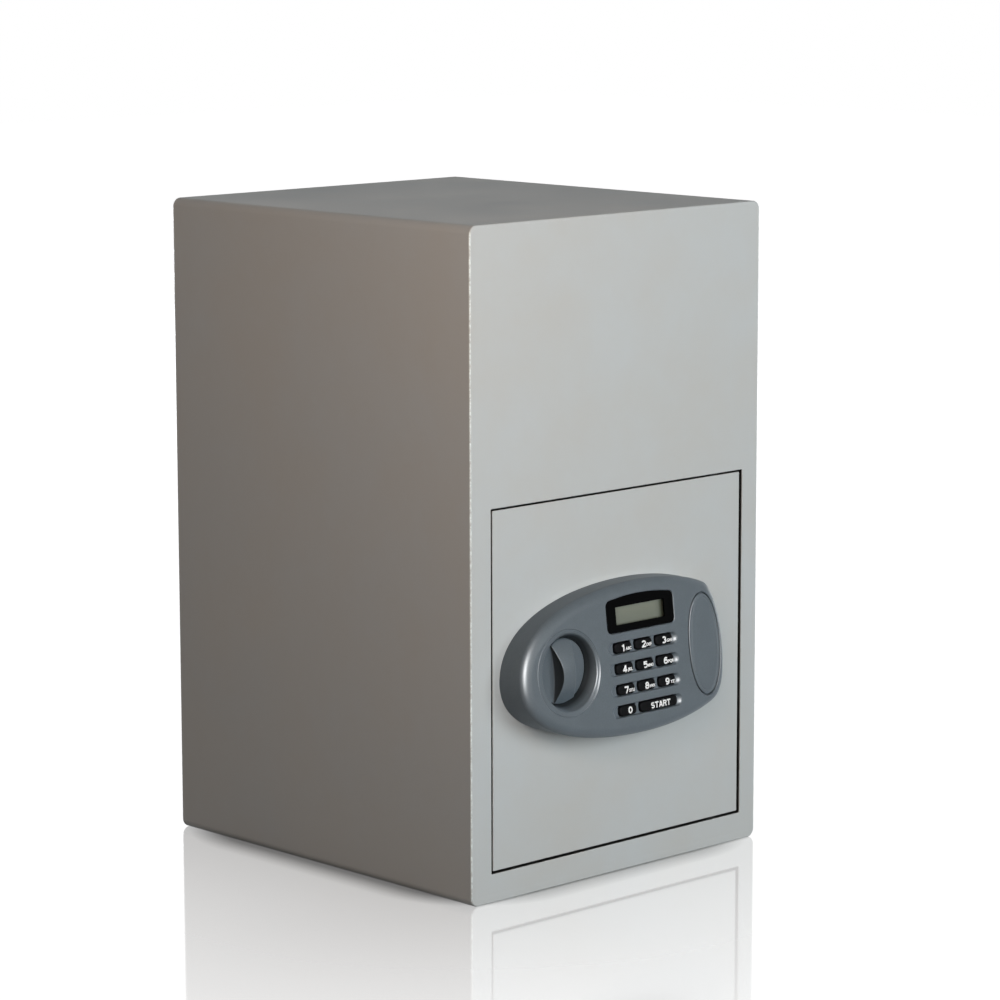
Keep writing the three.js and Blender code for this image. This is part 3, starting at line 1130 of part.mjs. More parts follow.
function makeInnerCover() {
  const outer = block(coverLeft, coverRight, doorInside, coverBack, coverBottom, coverTop);
  const inner = block(coverLeft + COVER_SHEET, coverRight - COVER_SHEET, doorInside - 1, coverInside,
    coverBottom + COVER_SHEET, coverTop - COVER_SHEET);
  let cover = outer.subtract(inner);
  const lugs = [boxLeft, boxRight - 4].map((x) => block(x, x + 4, coverBack - 0.2, lidAxis[0] + 2,
    lidAxis[1] - 2, lidAxis[1] + 2));
  cover = union([cover, ...lugs]);
  cover = cover.subtract(rod('x', 1 + FIT, boxLeft - 1, boxRight + 1, lidAxis, 12));
  for (const z of [upperBoltZ, lowerBoltZ]) {
    cover = cover.subtract(rod('x', BOLT_RADIUS + RUNNING_GAP, coverLeft - 1, coverLeft + COVER_SHEET + 1,
      [boltY, z], 20));
  }
  const wall = BATTERY_BOX_WALL;
  cover = cover.subtract(block(boxLeft + wall, boxRight - wall, coverInside - 0.1, coverBack + 0.1,
    boxBottom + wall, boxTop - wall));
  cover = cover.subtract(rod('y', RESET_RADIUS + FIT, coverInside - 1, coverBack + 1, [resetX, resetZ], 20));
  piece('inner_cover', cover, paintedSteel);
}

function makeResetButton() {
  const flange = coverInside - FIT;
  piece('reset_button', turned([
    [0, flange - 6], [2.5, flange - 6], [2.5, flange - 1.2], [RESET_RADIUS + 2, flange - 1.2],
    [RESET_RADIUS + 2, flange], [RESET_RADIUS, flange], [RESET_RADIUS, coverBack + RESET_TRAVEL],
    [RESET_RADIUS - 0.5, coverBack + RESET_TRAVEL + 0.5], [0, coverBack + RESET_TRAVEL + 0.5],
  ], resetX, resetZ, 16), redPlastic);
}

makeBodyShell();
makeFrontPanel();
makeHingeBrackets();
makeRearPanel();
makeHopperGuard();
makeBaffle();
makeHopperRod();
makeHopperDoor();
makeHopperPan();
makeHopperPull();
makeFloorMat();
makeDoorPlate();
makeHingeLeaves();
makeInnerCover();
makeGuides();
makeStuds();
makeCarrier();
makeBolt('upper_bolt', upperBoltZ);
makeBolt('lower_bolt', lowerBoltZ);
makeSolenoid();
makeBatteryBox();
makeBatteryLid();
makeResetButton();
const panelSolid = makeLockHousing();
makeOverrideCover(panelSolid);
makeOverrideLock();
makeDisplay();
for (const key of keyList()) makeKey(key);
makeKeypadInside();
makeKnob();
makeCrank();

export default safe;
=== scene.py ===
"""Looks of a small deposit safe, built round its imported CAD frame. Metres, +Z up, the door faces -Y."""
import json
import math

import bmesh
import bpy
from mathutils import Matrix, Vector, noise

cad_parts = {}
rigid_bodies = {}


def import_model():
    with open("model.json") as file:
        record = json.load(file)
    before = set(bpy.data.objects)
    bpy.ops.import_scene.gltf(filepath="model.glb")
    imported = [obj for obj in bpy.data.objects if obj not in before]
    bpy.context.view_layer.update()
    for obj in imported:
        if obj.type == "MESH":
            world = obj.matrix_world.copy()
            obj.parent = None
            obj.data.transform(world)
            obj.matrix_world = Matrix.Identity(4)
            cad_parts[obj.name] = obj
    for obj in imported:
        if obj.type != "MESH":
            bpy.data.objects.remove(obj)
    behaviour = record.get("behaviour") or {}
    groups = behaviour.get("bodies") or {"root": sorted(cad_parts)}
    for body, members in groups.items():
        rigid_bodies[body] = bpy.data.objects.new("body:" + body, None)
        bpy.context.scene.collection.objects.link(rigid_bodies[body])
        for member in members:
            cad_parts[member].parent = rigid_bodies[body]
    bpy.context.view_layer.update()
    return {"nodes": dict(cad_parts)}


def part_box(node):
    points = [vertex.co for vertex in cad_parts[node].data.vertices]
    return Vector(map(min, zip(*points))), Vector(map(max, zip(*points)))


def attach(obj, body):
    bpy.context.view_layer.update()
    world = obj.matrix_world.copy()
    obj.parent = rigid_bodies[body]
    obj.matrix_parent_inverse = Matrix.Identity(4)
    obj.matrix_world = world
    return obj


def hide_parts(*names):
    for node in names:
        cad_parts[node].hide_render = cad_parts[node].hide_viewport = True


bl_info = {
    "name": "Deposit Safe Dressing",
    "version": (1, 0, 0),
    "blender": (4, 5, 0),
    "location": "3D View > Sidebar > Safe",
    "description": "Builds the finishes and small parts of a deposit safe on its CAD frame",
    "category": "Object",
}

for leftover in list(bpy.data.objects):
    bpy.data.objects.remove(leftover)
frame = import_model()
NODES = frame["nodes"]

BLACK = (0, 0, 0, 1)
WHITE = (1, 1, 1, 1)

# Millimetres, as in the part's source. The lock panel's face leans back by FACE_SLOPE in 1.
MM = 0.001
CORNERS = ((1, -1), (1, 1), (-1, 1), (-1, -1))

# Body, door and hopper
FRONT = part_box("front_panel")[0].y / MM
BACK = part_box("rear_panel")[1].y / MM
SHEET_HALF_X = 125.0
SHEET_HALF_Y = 137.5
SHEET_TOP = 410.0
SHEET_CORNER = 5.5
SEAM_HALF_X = 119.2
SEAM_HALF_Z = 199.2
SEAM_RADIUS = 3.15
OPENING = (-108.3, 111.0, 17.8, 240.7)
STRIKES_Y = -121
STRIKES_Z = (74.6, 189.6)
HINGE_PIN = (92.2, -128.5)
COVER_BACK = -106.0
COVER_SCREWS = ((-89, 44), (-89, 131), (-89, 218), (-12, 218), (-12, 44), (64, 44))
WELD_X = 86.2
WELD_STARTS = (31.5, 48, 197, 213.5)
WELD_LENGTH = 13
PULL_BACK = BACK + 1.5
PULL_SCREWS = ((-45, 356.5), (45, 356.5))

# Lock panel, with its knob, keys, window and oval cover
PANEL_X = -14.2
PANEL_Z = 139.25
PANEL_HALF_X = 87.5
PANEL_HALF_Z = 46.65
PANEL_DEPTH = 21.6
EDGE_DEPTH = 5.6
FACE_Y = FRONT - PANEL_DEPTH
FACE_SLOPE = 0.12
LEAN = math.atan(FACE_SLOPE)
KNOB_X = -63.0
KNOB_Z = 138.3
KNOB_RADIUS = 20.1
DISC_FRONT = -150.7
DISC_BACK = -147.1
KEYS_X = 0.2
FIRST_KEY_X = -17.0
LAST_KEY_Z = 108.89
KEY_PITCH_X = 17.9
KEY_PITCH_Z = 12.77
KEY_HALF_X = 7.5
KEY_HALF_Z = 3.2
KEY_SHIFT = 0.8
KEY_TOP = -0.6
KEY_RIM = 1.1
KEY_CORNER = 2.6
GROOVE_DEPTH = 2.2
PANEL_WALL = 2.5
BOWL_RADIUS = 20.6
BOSS_RADIUS = 25.6
BOSS_BACK = -144.8
WINDOW_Z = 156.39
WINDOW_CORNER = 3.8
WINDOW_SPAN = 25.6
WINDOW_RISE = 13.0
DISPLAY_HALF_X = 21.2
DISPLAY_LOW = 163.5
DISPLAY_HIGH = 170.5
OVAL_X = 54.6
OVAL_Z = 139.8
OVAL_HALF_X = 14.3
OVAL_HALF_V = 32.3
SPINDLE_HOLE = 6.5
LOCK_HOLE = 9.3
CABLE_HOLE = 8.0
DOOR_HOLES = ((SPINDLE_HOLE, (KNOB_X, KNOB_Z)), (LOCK_HOLE, (OVAL_X, OVAL_Z)),
              (CABLE_HOLE, (KEYS_X, KNOB_Z)))

# The upright cells: their ends, and where the copper coloured part of the sleeve begins
CELL_LOW = 166.5
CELL_HIGH = 214.7
CELL_COPPER = 200.5

# The egg's Bezier curves: two handles and an end each, in halves of the panel's width and height
EGG = [
    ((-1, 0.734), (-0.329, 1), (0.197, 1)),
    ((0.505, 1), (0.745, 0.908), (0.871, 0.801)),
    ((0.934, 0.747), (1, 0.359), (1, -0.027)),
    ((1, -0.391), (0.974, -0.681), (0.859, -0.777)),
    ((0.688, -0.921), (0.402, -1), (0.128, -1)),
    ((-0.261, -1), (-1, -0.884), (-1, -0.091)),
]


def colour_property(name, description, default):
    return bpy.props.FloatVectorProperty(
        name=name, description=description, subtype="COLOR", size=3, min=0.0, max=1.0, default=default)


def length_property(name, description, default):
    return bpy.props.FloatProperty(
        name=name, description=description, subtype="DISTANCE", unit="LENGTH", min=0.0, default=default)


def power_property(name, description, default):
    return bpy.props.FloatProperty(
        name=name, description=description, unit="POWER", min=0.0, default=default)


class SafeFinish(bpy.types.PropertyGroup):
    paint: colour_property("Paint", "Powder coat of the steel body and door", (0.497, 0.525, 0.529))
    housing: colour_property("Housing", "Moulded lock housing, knob and key cover", (0.062, 0.080, 0.095))
    keys: colour_property("Keys", "Keys of the keypad", (0.0032, 0.0035, 0.0042))
    legends: colour_property("Legends", "Print on the keys", (0.85, 0.86, 0.86))
    display: colour_property("Display", "Display behind its window", (0.118, 0.135, 0.100))
    zinc: colour_property("Zinc", "Zinc plated brackets, hopper and bolt work", (0.42, 0.425, 0.41))
    steel: colour_property("Bright steel", "Turned bolts, pins and rods", (0.56, 0.57, 0.58))
    brass: colour_property("Brass", "Barrel and plug of the override lock", (0.50, 0.34, 0.13))


class SafeSizes(bpy.types.PropertyGroup):
    sheet_edge: length_property("Sheet edge", "Radius along the edges of the body sheet", 0.0011)
    door_edge: length_property("Door edge", "Radius along the edges of the door plate", 0.0005)
    housing_edge: length_property("Housing edge", "Width of the rounding round the lock panel", 0.0066)
    digit_height: length_property("Digit height", "Height of the digits on the keys", 0.0044)
    screw_head: length_property("Screw head", "Radius of the pan head screws", 0.0032)
    weld_bead: length_property("Weld bead", "Radius of the weld beads", 0.0018)


class SafeStage(bpy.types.PropertyGroup):
    floor_size: length_property("Floor size", "Side of the square floor", 12.0)
    key_power: power_property("Key light", "Soft light at the front right", 27.0)
    fill_power: power_property("Fill light", "Warm soft light at the left", 4.25)
    strip_power: power_property("Strip light", "Narrow light at the front left", 4.0)
    glint_power: power_property("Glint light", "Tall light that shows in reflections only", 250.0)
    rear_power: power_property("Rear light", "Soft light behind the safe", 40.0)
    side_power: power_property("Side light", "Soft light at the right of the safe", 20.0)
    low_power: power_property("Low light", "Small light behind the safe, below its top", 6.0)
    surround: bpy.props.FloatProperty(
        name="Surround", description="Brightness of the surroundings as a light", min=0.0, default=0.07)


# Node tree helpers
def node(tree, kind, inputs=None, **settings):
    made = tree.nodes.new("ShaderNode" + kind)
    for key, value in settings.items():
        setattr(made, key, value)
    for key, value in (inputs or {}).items():
        if isinstance(value, bpy.types.NodeSocket):
            tree.links.new(value, made.inputs[key])
        else:
            made.inputs[key].default_value = value
    return made


def group(name, inputs, outputs):
    tree = bpy.data.node_groups.new(name, "ShaderNodeTree")
    for label, kind, default in inputs:
        socket = tree.interface.new_socket(label, in_out="INPUT", socket_type="NodeSocket" + kind)
        socket.default_value = default
    for label in outputs:
        tree.interface.new_socket(label, in_out="OUTPUT", socket_type="NodeSocketFloat")
    return tree, tree.nodes.new("NodeGroupInput").outputs, tree.nodes.new("NodeGroupOutput").inputs


def use(tree, name, **inputs):
    made = tree.nodes.new("ShaderNodeGroup")
    made.node_tree = bpy.data.node_groups[name]
    for key, value in inputs.items():
        made.inputs[key].default_value = value
    return made.outputs


def maths(operation, a, b=0.0):
    """Arithmetic on a socket, in the node tree that it belongs to"""
    return node(a.id_data, "Math", {0: a, 1: b}, operation=operation).outputs[0]


def times(a, b):
    return maths("MULTIPLY", a, b)


def greater(a, b):
    return maths("MAXIMUM", a, b)


def spread(value, low, high, start=0.0, end=1.0):
    """A value that runs from low to high while another one runs from start to end"""
    inputs = {"Value": value, "From Min": start, "From Max": end, "To Min": low, "To Max": high}
    return node(value.id_data, "MapRange", inputs).outputs["Result"]


def rise(value, start, end):
    return spread(value, 0, 1, start, end)


def fall(value, start, end):
    return spread(value, 1, 0, start, end)


def here(tree):
    return node(tree, "TexCoord").outputs["Object"]


def axes(tree, source="Object"):
    """X, Y and Z of a texture coordinate"""
    return node(tree, "SeparateXYZ", {"Vector": node(tree, "TexCoord").outputs[source]}).outputs


def size_of(value):
    return maths("ABSOLUTE", value)


def clouds(tree, scale, **inputs):
    """Noise over the object's own coordinates"""
    return node(tree, "TexNoise", {"Vector": here(tree), "Scale": scale, **inputs}).outputs["Fac"]


def cells(tree, scale, output, feature="F1"):
    return node(tree, "TexVoronoi", {"Vector": here(tree), "Scale": scale}, feature=feature).outputs[output]


def make_groups():
    """Node groups for effects that several materials share"""
    tree, given, put = group("Powder Coat", [("Grain", "Float", 420.0), ("Patches", "Float", 14.0)],
                             ["Height", "Mottle", "Specks"])
    fine = clouds(tree, times(given["Grain"], 3.1))
    peel = maths("ADD", clouds(tree, given["Grain"], Detail=1.0), times(fine, 0.35))
    tree.links.new(peel, put["Height"])
    patches = clouds(tree, given["Patches"], Detail=5.0, Roughness=0.62)
    tree.links.new(rise(patches, 0.32, 0.68), put["Mottle"])
    tree.links.new(fall(cells(tree, 260.0, "Distance"), 0.02, 0.06), put["Specks"])

    tree, given, put = group("Edge Wear", [("Radius", "Float", 0.0008), ("Breakup", "Float", 160.0)],
                             ["Mask"])
    rounded = node(tree, "Bevel", {"Radius": given["Radius"]}, samples=4).outputs[0]
    flat = node(tree, "NewGeometry").outputs["Normal"]
    turn = node(tree, "VectorMath", {0: rounded, 1: flat}, operation="DOT_PRODUCT").outputs["Value"]
    broken = clouds(tree, given["Breakup"], Detail=4.0)
    worn = times(fall(turn, 0.86, 0.995), rise(broken, 0.42, 0.6))
    tree.links.new(worn, put["Mask"])

    tree, given, put = group("Drawn Streaks", [("Stretch", "Vector", (1.0, 1.0, 1.0)),
                                               ("Scale", "Float", 900.0)], ["Streaks", "Cloud"])
    along = node(tree, "VectorMath", {0: here(tree), 1: given["Stretch"]}, operation="MULTIPLY").outputs[0]
    streaks = node(tree, "TexNoise", {"Vector": along, "Scale": given["Scale"], "Detail": 3.0})
    tree.links.new(streaks.outputs["Fac"], put["Streaks"])
    tree.links.new(rise(clouds(tree, 42.0, Detail=5.0, Roughness=0.6), 0.3, 0.7), put["Cloud"])

    tree, given, put = group("Moulded Grain", [("Grain", "Float", 1500.0)], ["Height", "Flakes", "Smudges"])
    tree.links.new(cells(tree, given["Grain"], "Distance", "SMOOTH_F1"), put["Height"])
    flakes = node(tree, "SeparateColor", {"Color": cells(tree, 2600.0, "Color")}).outputs[0]
    tree.links.new(flakes, put["Flakes"])
    smudges = clouds(tree, 55.0, Detail=4.0, Distortion=0.8)
    tree.links.new(rise(smudges, 0.35, 0.7), put["Smudges"])

    tree, given, put = group("Dust", [("Patches", "Float", 60.0)], ["Mask"])
    facing = rise(axes(tree, "Normal")["Z"], 0.3, 1.0)
    loose = clouds(tree, given["Patches"], Detail=6.0, Roughness=0.7)
    tree.links.new(times(facing, rise(loose, 0.45, 0.75)), put["Mask"])


def surface(name, **values):
    """A material whose Principled BSDF holds plain values on its own sockets"""
    made = bpy.data.materials.new(name)
    made.use_nodes = True
    shader = made.node_tree.nodes["Principled BSDF"]
    for key, value in values.items():
        shader.inputs[key.replace("_", " ")].default_value = value
    return made, made.node_tree


def feed(made, colour, roughness, height, depth):
    """Links what varies to a material's shader: its colour, its roughness and a bump"""
    tree = made.node_tree
    shader = tree.nodes["Principled BSDF"]
    bump = node(tree, "Bump", {"Height": height, "Distance": depth, "Strength": 1.0}).outputs["Normal"]
    for value, label in ((colour, "Base Color"), (roughness, "Roughness"), (bump, "Normal")):
        tree.links.new(value, shader.inputs[label])
    return made


def tint(colour, factor, warm=0.0):
    return tuple(min(1.0, c * factor * (1 + warm * (1 - i))) for i, c in enumerate(colour))


def colour_mix(mask, one, other):
    one, other = [c if isinstance(c, bpy.types.NodeSocket) else (*c, 1.0) for c in (one, other)]
    return node(mask.id_data, "Mix", {0: mask, 6: one, 7: other}, data_type="RGBA").outputs[2]


def lay(under, colour, mask, share):
    """A colour laid over another one, by a share of a mask"""
    return colour_mix(times(mask, share), under, colour)


def make_paint(name, colour, wear=0.35, gap_shade=False):
    """Powder coat: fine orange peel, faint warm and cool patches, a thin edge rub that is partly wear and
    partly a painted highlight, a painted highlight down the body's upright edges and, where asked, painted
    shade in the gaps round the door
    """
    made, tree = surface(name, Roughness=0.6, Specular_IOR_Level=0.25)
    coat = use(tree, "Powder Coat", Grain=430.0, Patches=13.0)
    edge = use(tree, "Edge Wear", Radius=0.0011, Breakup=330.0)["Mask"]
    dust = use(tree, "Dust", Patches=70.0)["Mask"]
    rim = painted_edge_highlight_mask(tree)
    body = colour_mix(coat["Mottle"], tint(colour, 0.965, 0.026), tint(colour, 1.025, -0.012))
    body = lay(body, tint(colour, 0.55), coat["Specks"], 0.10)
    body = lay(body, tint(colour, 1.18, 0.03), dust, 0.10)
    # The edge rub is partly wear and partly a painted highlight: a lighter, cooler, broken line along the
    # edges
    body = lay(body, tint(colour, 1.5, -0.03), edge, wear)
    # Painted highlight: a bright, broken line down the body's four upright edges
    body = colour_mix(rim, body, tint(colour, 1.9, -0.04))
    # Painted shade: the edges in the gaps round the door are painted near black
    if gap_shade:
        body = colour_mix(painted_gap_shade_mask(tree), body, (0.016, 0.014, 0.013))
    worn = spread(greater(edge, rim), 1.0, 0.5)
    rough = times(spread(coat["Mottle"], 0.55, 0.66), worn)
    return feed(made, body, rough, coat["Height"], 0.000028)


def painted_edge_highlight_mask(tree):
    """A painted highlight, bright and broken, down the body's four upright edges"""
    place = axes(tree)
    side = rise(size_of(place["X"]), (SHEET_HALF_X - 1.0) * MM, (SHEET_HALF_X - 0.5) * MM)
    end = rise(size_of(place["Y"]), (SHEET_HALF_Y - 1.1) * MM, (SHEET_HALF_Y - 0.6) * MM)
    highlight_breakup = clouds(tree, 420.0, Detail=3.0, Roughness=0.7)
    return times(times(side, end), spread(highlight_breakup, 0.25, 1, 0.4, 0.62))


def painted_gap_shade_mask(tree):
    """Painted shade on the edges behind the front face, round the door and its opening, where the gaps
    between door and body fall dark
    """
    behind = rise(axes(tree)["Y"], (FRONT + 0.55) * MM, (FRONT + 0.9) * MM)
    return times(behind, fall(size_of(axes(tree, "Normal")["Y"]), 0.3, 0.6))


def make_moulded(name, colour, roughness, grain, depth, edge, flake=0.0, coat=0.0, gloss=0.5, bowl_shade=False):
    """Moulded plastic with a fine grain, handling smudges, where painted, metallic flakes and, where asked,
    painted shade in the knob's bowl
    """
    made, tree = surface(name, Coat_Weight=coat, Coat_Roughness=0.44, Specular_IOR_Level=gloss)
    grains = use(tree, "Moulded Grain", Grain=grain)
    wear = use(tree, "Edge Wear", Radius=0.0005, Breakup=240.0)["Mask"]
    body = colour_mix(grains["Smudges"], tint(colour, 0.94), tint(colour, 1.05))
    body = lay(body, tint(colour, 2.1), grains["Flakes"], flake)
    body = lay(body, tint(colour, 1.7), wear, edge)
    # Painted shade: the knob's bowl and the dished sides of its grip are darkened, and their coat is
    # thinned
    if bowl_shade:
        painted_shade = painted_bowl_shade_mask(tree)
        body = colour_mix(painted_shade, body, tint(colour, 0.22))
        shader = tree.nodes["Principled BSDF"]
        tree.links.new(spread(painted_shade, coat, coat * 0.25), shader.inputs["Coat Weight"])
    rough = spread(grains["Smudges"], roughness * 0.9, roughness * 1.12)
    return feed(made, body, rough, grains["Height"], depth)


def painted_bowl_shade_mask(tree):
    """Painted shade in the knob's bowl and on the dished sides of its grip, where the coat is also made
    thinner
    """
    axis = node(tree, "VectorMath", {0: here(tree), 1: (KNOB_X * MM, 0, KNOB_Z * MM)}, operation="SUBTRACT")
    glow_with_painted_contact_shadow = node(tree, "VectorMath", {0: axis.outputs[0], 1: (1, 0, 1)}, operation="MULTIPLY")
    radius = node(tree, "VectorMath", {0: glow_with_painted_contact_shadow.outputs[0]}, operation="LENGTH").outputs["Value"]
    depth = axes(tree)["Y"]
    sunk = rise(depth, (FACE_Y + 1.2) * MM, (FACE_Y + 6) * MM)
    wall = times(fall(radius, (BOWL_RADIUS + 3.2) * MM, (BOWL_RADIUS + 4.0) * MM),
                 rise(radius, KNOB_RADIUS * MM, BOWL_RADIUS * MM))
    dished = rise(size_of(axes(tree, "Normal")["X"]), 0.6, 0.72)
    proud = times(fall(depth, (DISC_FRONT - 0.9) * MM, (DISC_FRONT - 0.3) * MM),
                  fall(radius, (KNOB_RADIUS - 0.9) * MM, (KNOB_RADIUS - 0.3) * MM))
    return greater(times(sunk, wall), times(dished, proud))


def make_plated(name, colour, roughness, stretch, scale=700.0, cloud=0.18):
    """Bare or plated metal with drawn streaks, cloudy plating and brighter edges"""
    made, tree = surface(name, Metallic=1.0)
    drawn = use(tree, "Drawn Streaks", Stretch=stretch, Scale=scale)
    wear = use(tree, "Edge Wear", Radius=0.0006, Breakup=300.0)["Mask"]
    body = colour_mix(drawn["Cloud"], tint(colour, 1 - cloud, 0.03),
                      tint(colour, 1 + cloud * 0.6, -0.01))
    body = lay(body, tint(colour, 0.7), drawn["Streaks"], 0.25)
    body = lay(body, tint(colour, 1.5), wear, 0.5)
    rough = maths("ADD", spread(drawn["Cloud"], roughness * 0.85, roughness * 1.2),
                  spread(drawn["Streaks"], -0.05, 0.05, 0.3, 0.7))
    return feed(made, body, rough, drawn["Streaks"], 0.000012)


def make_rubber():
    made, tree = surface("ribbed_rubber", Roughness=0.85)
    grains = use(tree, "Moulded Grain", Grain=1100.0)
    ribs = node(tree, "TexWave", {"Vector": here(tree), "Scale": 52.0}, bands_direction="X").outputs["Fac"]
    body = colour_mix(grains["Smudges"], (0.012, 0.012, 0.013), (0.03, 0.03, 0.031))
    height = maths("ADD", ribs, times(grains["Height"], 0.15))
    return feed(made, body, spread(grains["Smudges"], 0.7, 0.92), height, 0.0005)


def make_display(colour):
    """Liquid crystal: a grey-green that grows lighter towards its top, with painted shade of the window's
    surround towards its left and right sides, under glossy glass
    """
    made, tree = surface("liquid_crystal", Roughness=0.3, Coat_Weight=0.15, Coat_Roughness=0.04)
    grains = use(tree, "Moulded Grain", Grain=2400.0)
    place = axes(tree)
    across = size_of(maths("SUBTRACT", place["X"], KEYS_X * MM))
    rim = rise(across, 15.0 * MM, DISPLAY_HALF_X * MM)
    up = rise(place["Z"], DISPLAY_LOW * MM, DISPLAY_HIGH * MM)
    body = colour_mix(up, tint(colour, 0.93), tint(colour, 1.12, 0.02))
    # Painted shade of the window's surround, towards the display's left and right sides
    body = lay(body, tint(colour, 0.35), rim, 0.55)
    body = lay(body, tint(colour, 0.7), grains["Flakes"], 0.04)
    return feed(made, body, spread(grains["Smudges"], 0.28, 0.31), grains["Height"], 0.000004)


def make_board():
    """Circuit board lacquer over a net of copper tracks"""
    made, tree = surface("board_lacquer", Roughness=0.35, Coat_Weight=0.4)
    tracks = node(tree, "TexBrick", {"Vector": here(tree), "Scale": 210.0, "Mortar Size": 0.06,
                                     "Color1": BLACK, "Color2": BLACK, "Mortar": WHITE})
    net = node(tree, "SeparateColor", {"Color": tracks.outputs["Color"]}).outputs[0]
    drawn = use(tree, "Drawn Streaks", Scale=300.0)
    body = colour_mix(drawn["Cloud"], (0.006, 0.07, 0.025), (0.010, 0.10, 0.036))
    body = lay(body, (0.04, 0.2, 0.07), net, 0.5)
    return feed(made, body, spread(drawn["Cloud"], 0.28, 0.42), net, 0.00003)


def make_cell_wrap():
    """Shrink wrap of the cells: a copper coloured end above a dark sleeve"""
    made, tree = surface("cell_sleeve", Metallic=0.35, Coat_Weight=0.5, Coat_Roughness=0.08)
    grains = use(tree, "Moulded Grain", Grain=900.0)
    height = axes(tree)["Z"]
    copper = rise(height, CELL_COPPER * MM, (CELL_COPPER + 0.3) * MM)
    metal = greater(rise(height, (CELL_HIGH - 0.1) * MM, (CELL_HIGH + 0.1) * MM),
                    fall(height, (CELL_LOW - 0.1) * MM, (CELL_LOW + 0.1) * MM))
    body = colour_mix(copper, (0.02, 0.022, 0.028), (0.42, 0.17, 0.05))
    body = colour_mix(metal, body, (0.62, 0.62, 0.6))
    body = lay(body, (0.3, 0.3, 0.3), grains["Smudges"], 0.12)
    return feed(made, body, spread(grains["Smudges"], 0.22, 0.34), grains["Height"], 0.00001)


def make_print(colour):
    made, tree = surface("key_print")
    grains = use(tree, "Moulded Grain", Grain=2200.0)
    body = lay(colour, tint(colour, 0.6), grains["Smudges"], 0.14)
    return feed(made, body, spread(grains["Smudges"], 0.42, 0.58), grains["Height"], 0.000006)


def make_materials():
    finish = bpy.context.scene.safe_finish
    zinc, steel, brass = finish.zinc, finish.steel, finish.brass
    return {
        "paint": make_paint("powder_coat", finish.paint),
        "inside_paint": make_paint("inner_powder_coat", tint(finish.paint, 0.9), 0.2),
        "jamb_shaded_paint": make_paint("primed_powder_coat", finish.paint, gap_shade=True),
        "housing": make_moulded("housing_lacquer", finish.housing, 0.45, 1700.0, 0.000006, 0.16,
                                flake=0.16, coat=0.6, gloss=0.02, bowl_shade=True),
        "keys": make_moulded("key_plastic", finish.keys, 0.30, 1900.0, 0.000008, 0.25, gloss=0.04),
        "window": make_moulded("window_gloss", (0.001, 0.0012, 0.0014), 0.08, 2600.0, 0.000001, 0.1,
                               gloss=0.02),
        "grey_plastic": make_moulded("grey_moulding", (0.022, 0.023, 0.025), 0.55, 900.0, 0.00003, 0.35),
        "red_plastic": make_moulded("red_moulding", (0.36, 0.012, 0.008), 0.34, 1500.0, 0.00001, 0.2,
                                    coat=0.1),
        "zinc": make_plated("zinc_plate", zinc, 0.38, (1.0, 1.0, 1.0), 160.0, 0.22),
        "zinc_drawn": make_plated("zinc_drawn", zinc, 0.34, (0.04, 1.0, 1.0)),
        "steel": make_plated("turned_steel", steel, 0.24, (1.0, 0.06, 0.06), 1500.0, 0.08),
        "steel_pin": make_plated("ground_steel", steel, 0.22, (0.08, 0.08, 1.0), 1500.0, 0.08),
        "brass": make_plated("turned_brass", brass, 0.26, (0.1, 1.0, 0.1), 1300.0, 0.12),
        "weld": make_plated("weld_metal", tint(zinc, 0.62, 0.04), 0.48, (1.0, 1.0, 1.0), 420.0, 0.3),
        "rubber": make_rubber(),
        "display": make_display(finish.display),
        "board": make_board(),
        "cells": make_cell_wrap(),
        "print": make_print(finish.legends),
    }


MATERIALS = {}


def material(name):
    """A finish by its name; all are made when the first is asked for"""
    if not MATERIALS:
        make_groups()
        MATERIALS.update(make_materials())
    return MATERIALS[name]


# Mesh helpers: points are in millimetres and become metres where a vertex is made
def loft(rings, closed_path=False, into=None):
    """A skin over rings of equal count, with caps unless its path is closed"""
    shape = into or bmesh.new()
    rows = [[shape.verts.new(Vector(point) * MM) for point in ring] for ring in rings]
    count = len(rows[0])
    for low, high in [*zip(rows, rows[1:]), *([(rows[-1], rows[0])] if closed_path else [])]:
        for i in range(count):
            j = (i + 1) % count
            shape.faces.new((low[i], low[j], high[j], high[i]))
    if not closed_path:
        shape.faces.new(rows[0][::-1])
        shape.faces.new(rows[-1])
    return shape


def on_face(u, v, w):
    """A point of the leaning face's own frame: u to the right, v up the face, w out of it"""
    return (u, FACE_Y + v * math.sin(LEAN) - w * math.cos(LEAN),
            PANEL_Z + v * math.cos(LEAN) + w * math.sin(LEAN))


def up_face(z):
    return (z - PANEL_Z) / math.cos(LEAN)


def face_y(z):
    return FACE_Y + FACE_SLOPE * (z - PANEL_Z)


def upright_ring(outline, y):
    return [(x, y, z) for x, z in outline]


def face_ring(outline, w):
    return [on_face(u, v, w) for u, v in outline]


def upright_block(outline, *depths):
    return loft([upright_ring(outline, y) for y in depths])


def face_block(outline, *heights):
    return loft([face_ring(outline, w) for w in heights])


def quarter(steps):
    """(1 - cos, 1 - sin) at even steps of a quarter turn"""
    angles = [math.pi / 2 * i / steps for i in range(steps + 1)]
    return [(1 - math.cos(angle), 1 - math.sin(angle)) for angle in angles]


def arc(cx, cy, rx, ry, start, end, steps=16):
    angles = [math.radians(start + (end - start) * i / steps) for i in range(steps + 1)]
    return [(cx + rx * math.cos(t), cy + ry * math.sin(t)) for t in angles]


def rounded_box(cx, cy, half_x, half_y, radius, steps=8):
    """Counter-clockwise points of a rounded rectangle"""
    radius = max(min(radius, half_x - 0.01, half_y - 0.01), 0.01)
    points = []
    for k, (sx, sy) in enumerate(CORNERS):
        points += arc(cx + sx * (half_x - radius), cy + sy * (half_y - radius), radius, radius,
                      90 * (k - 1), 90 * k, steps)
    return points


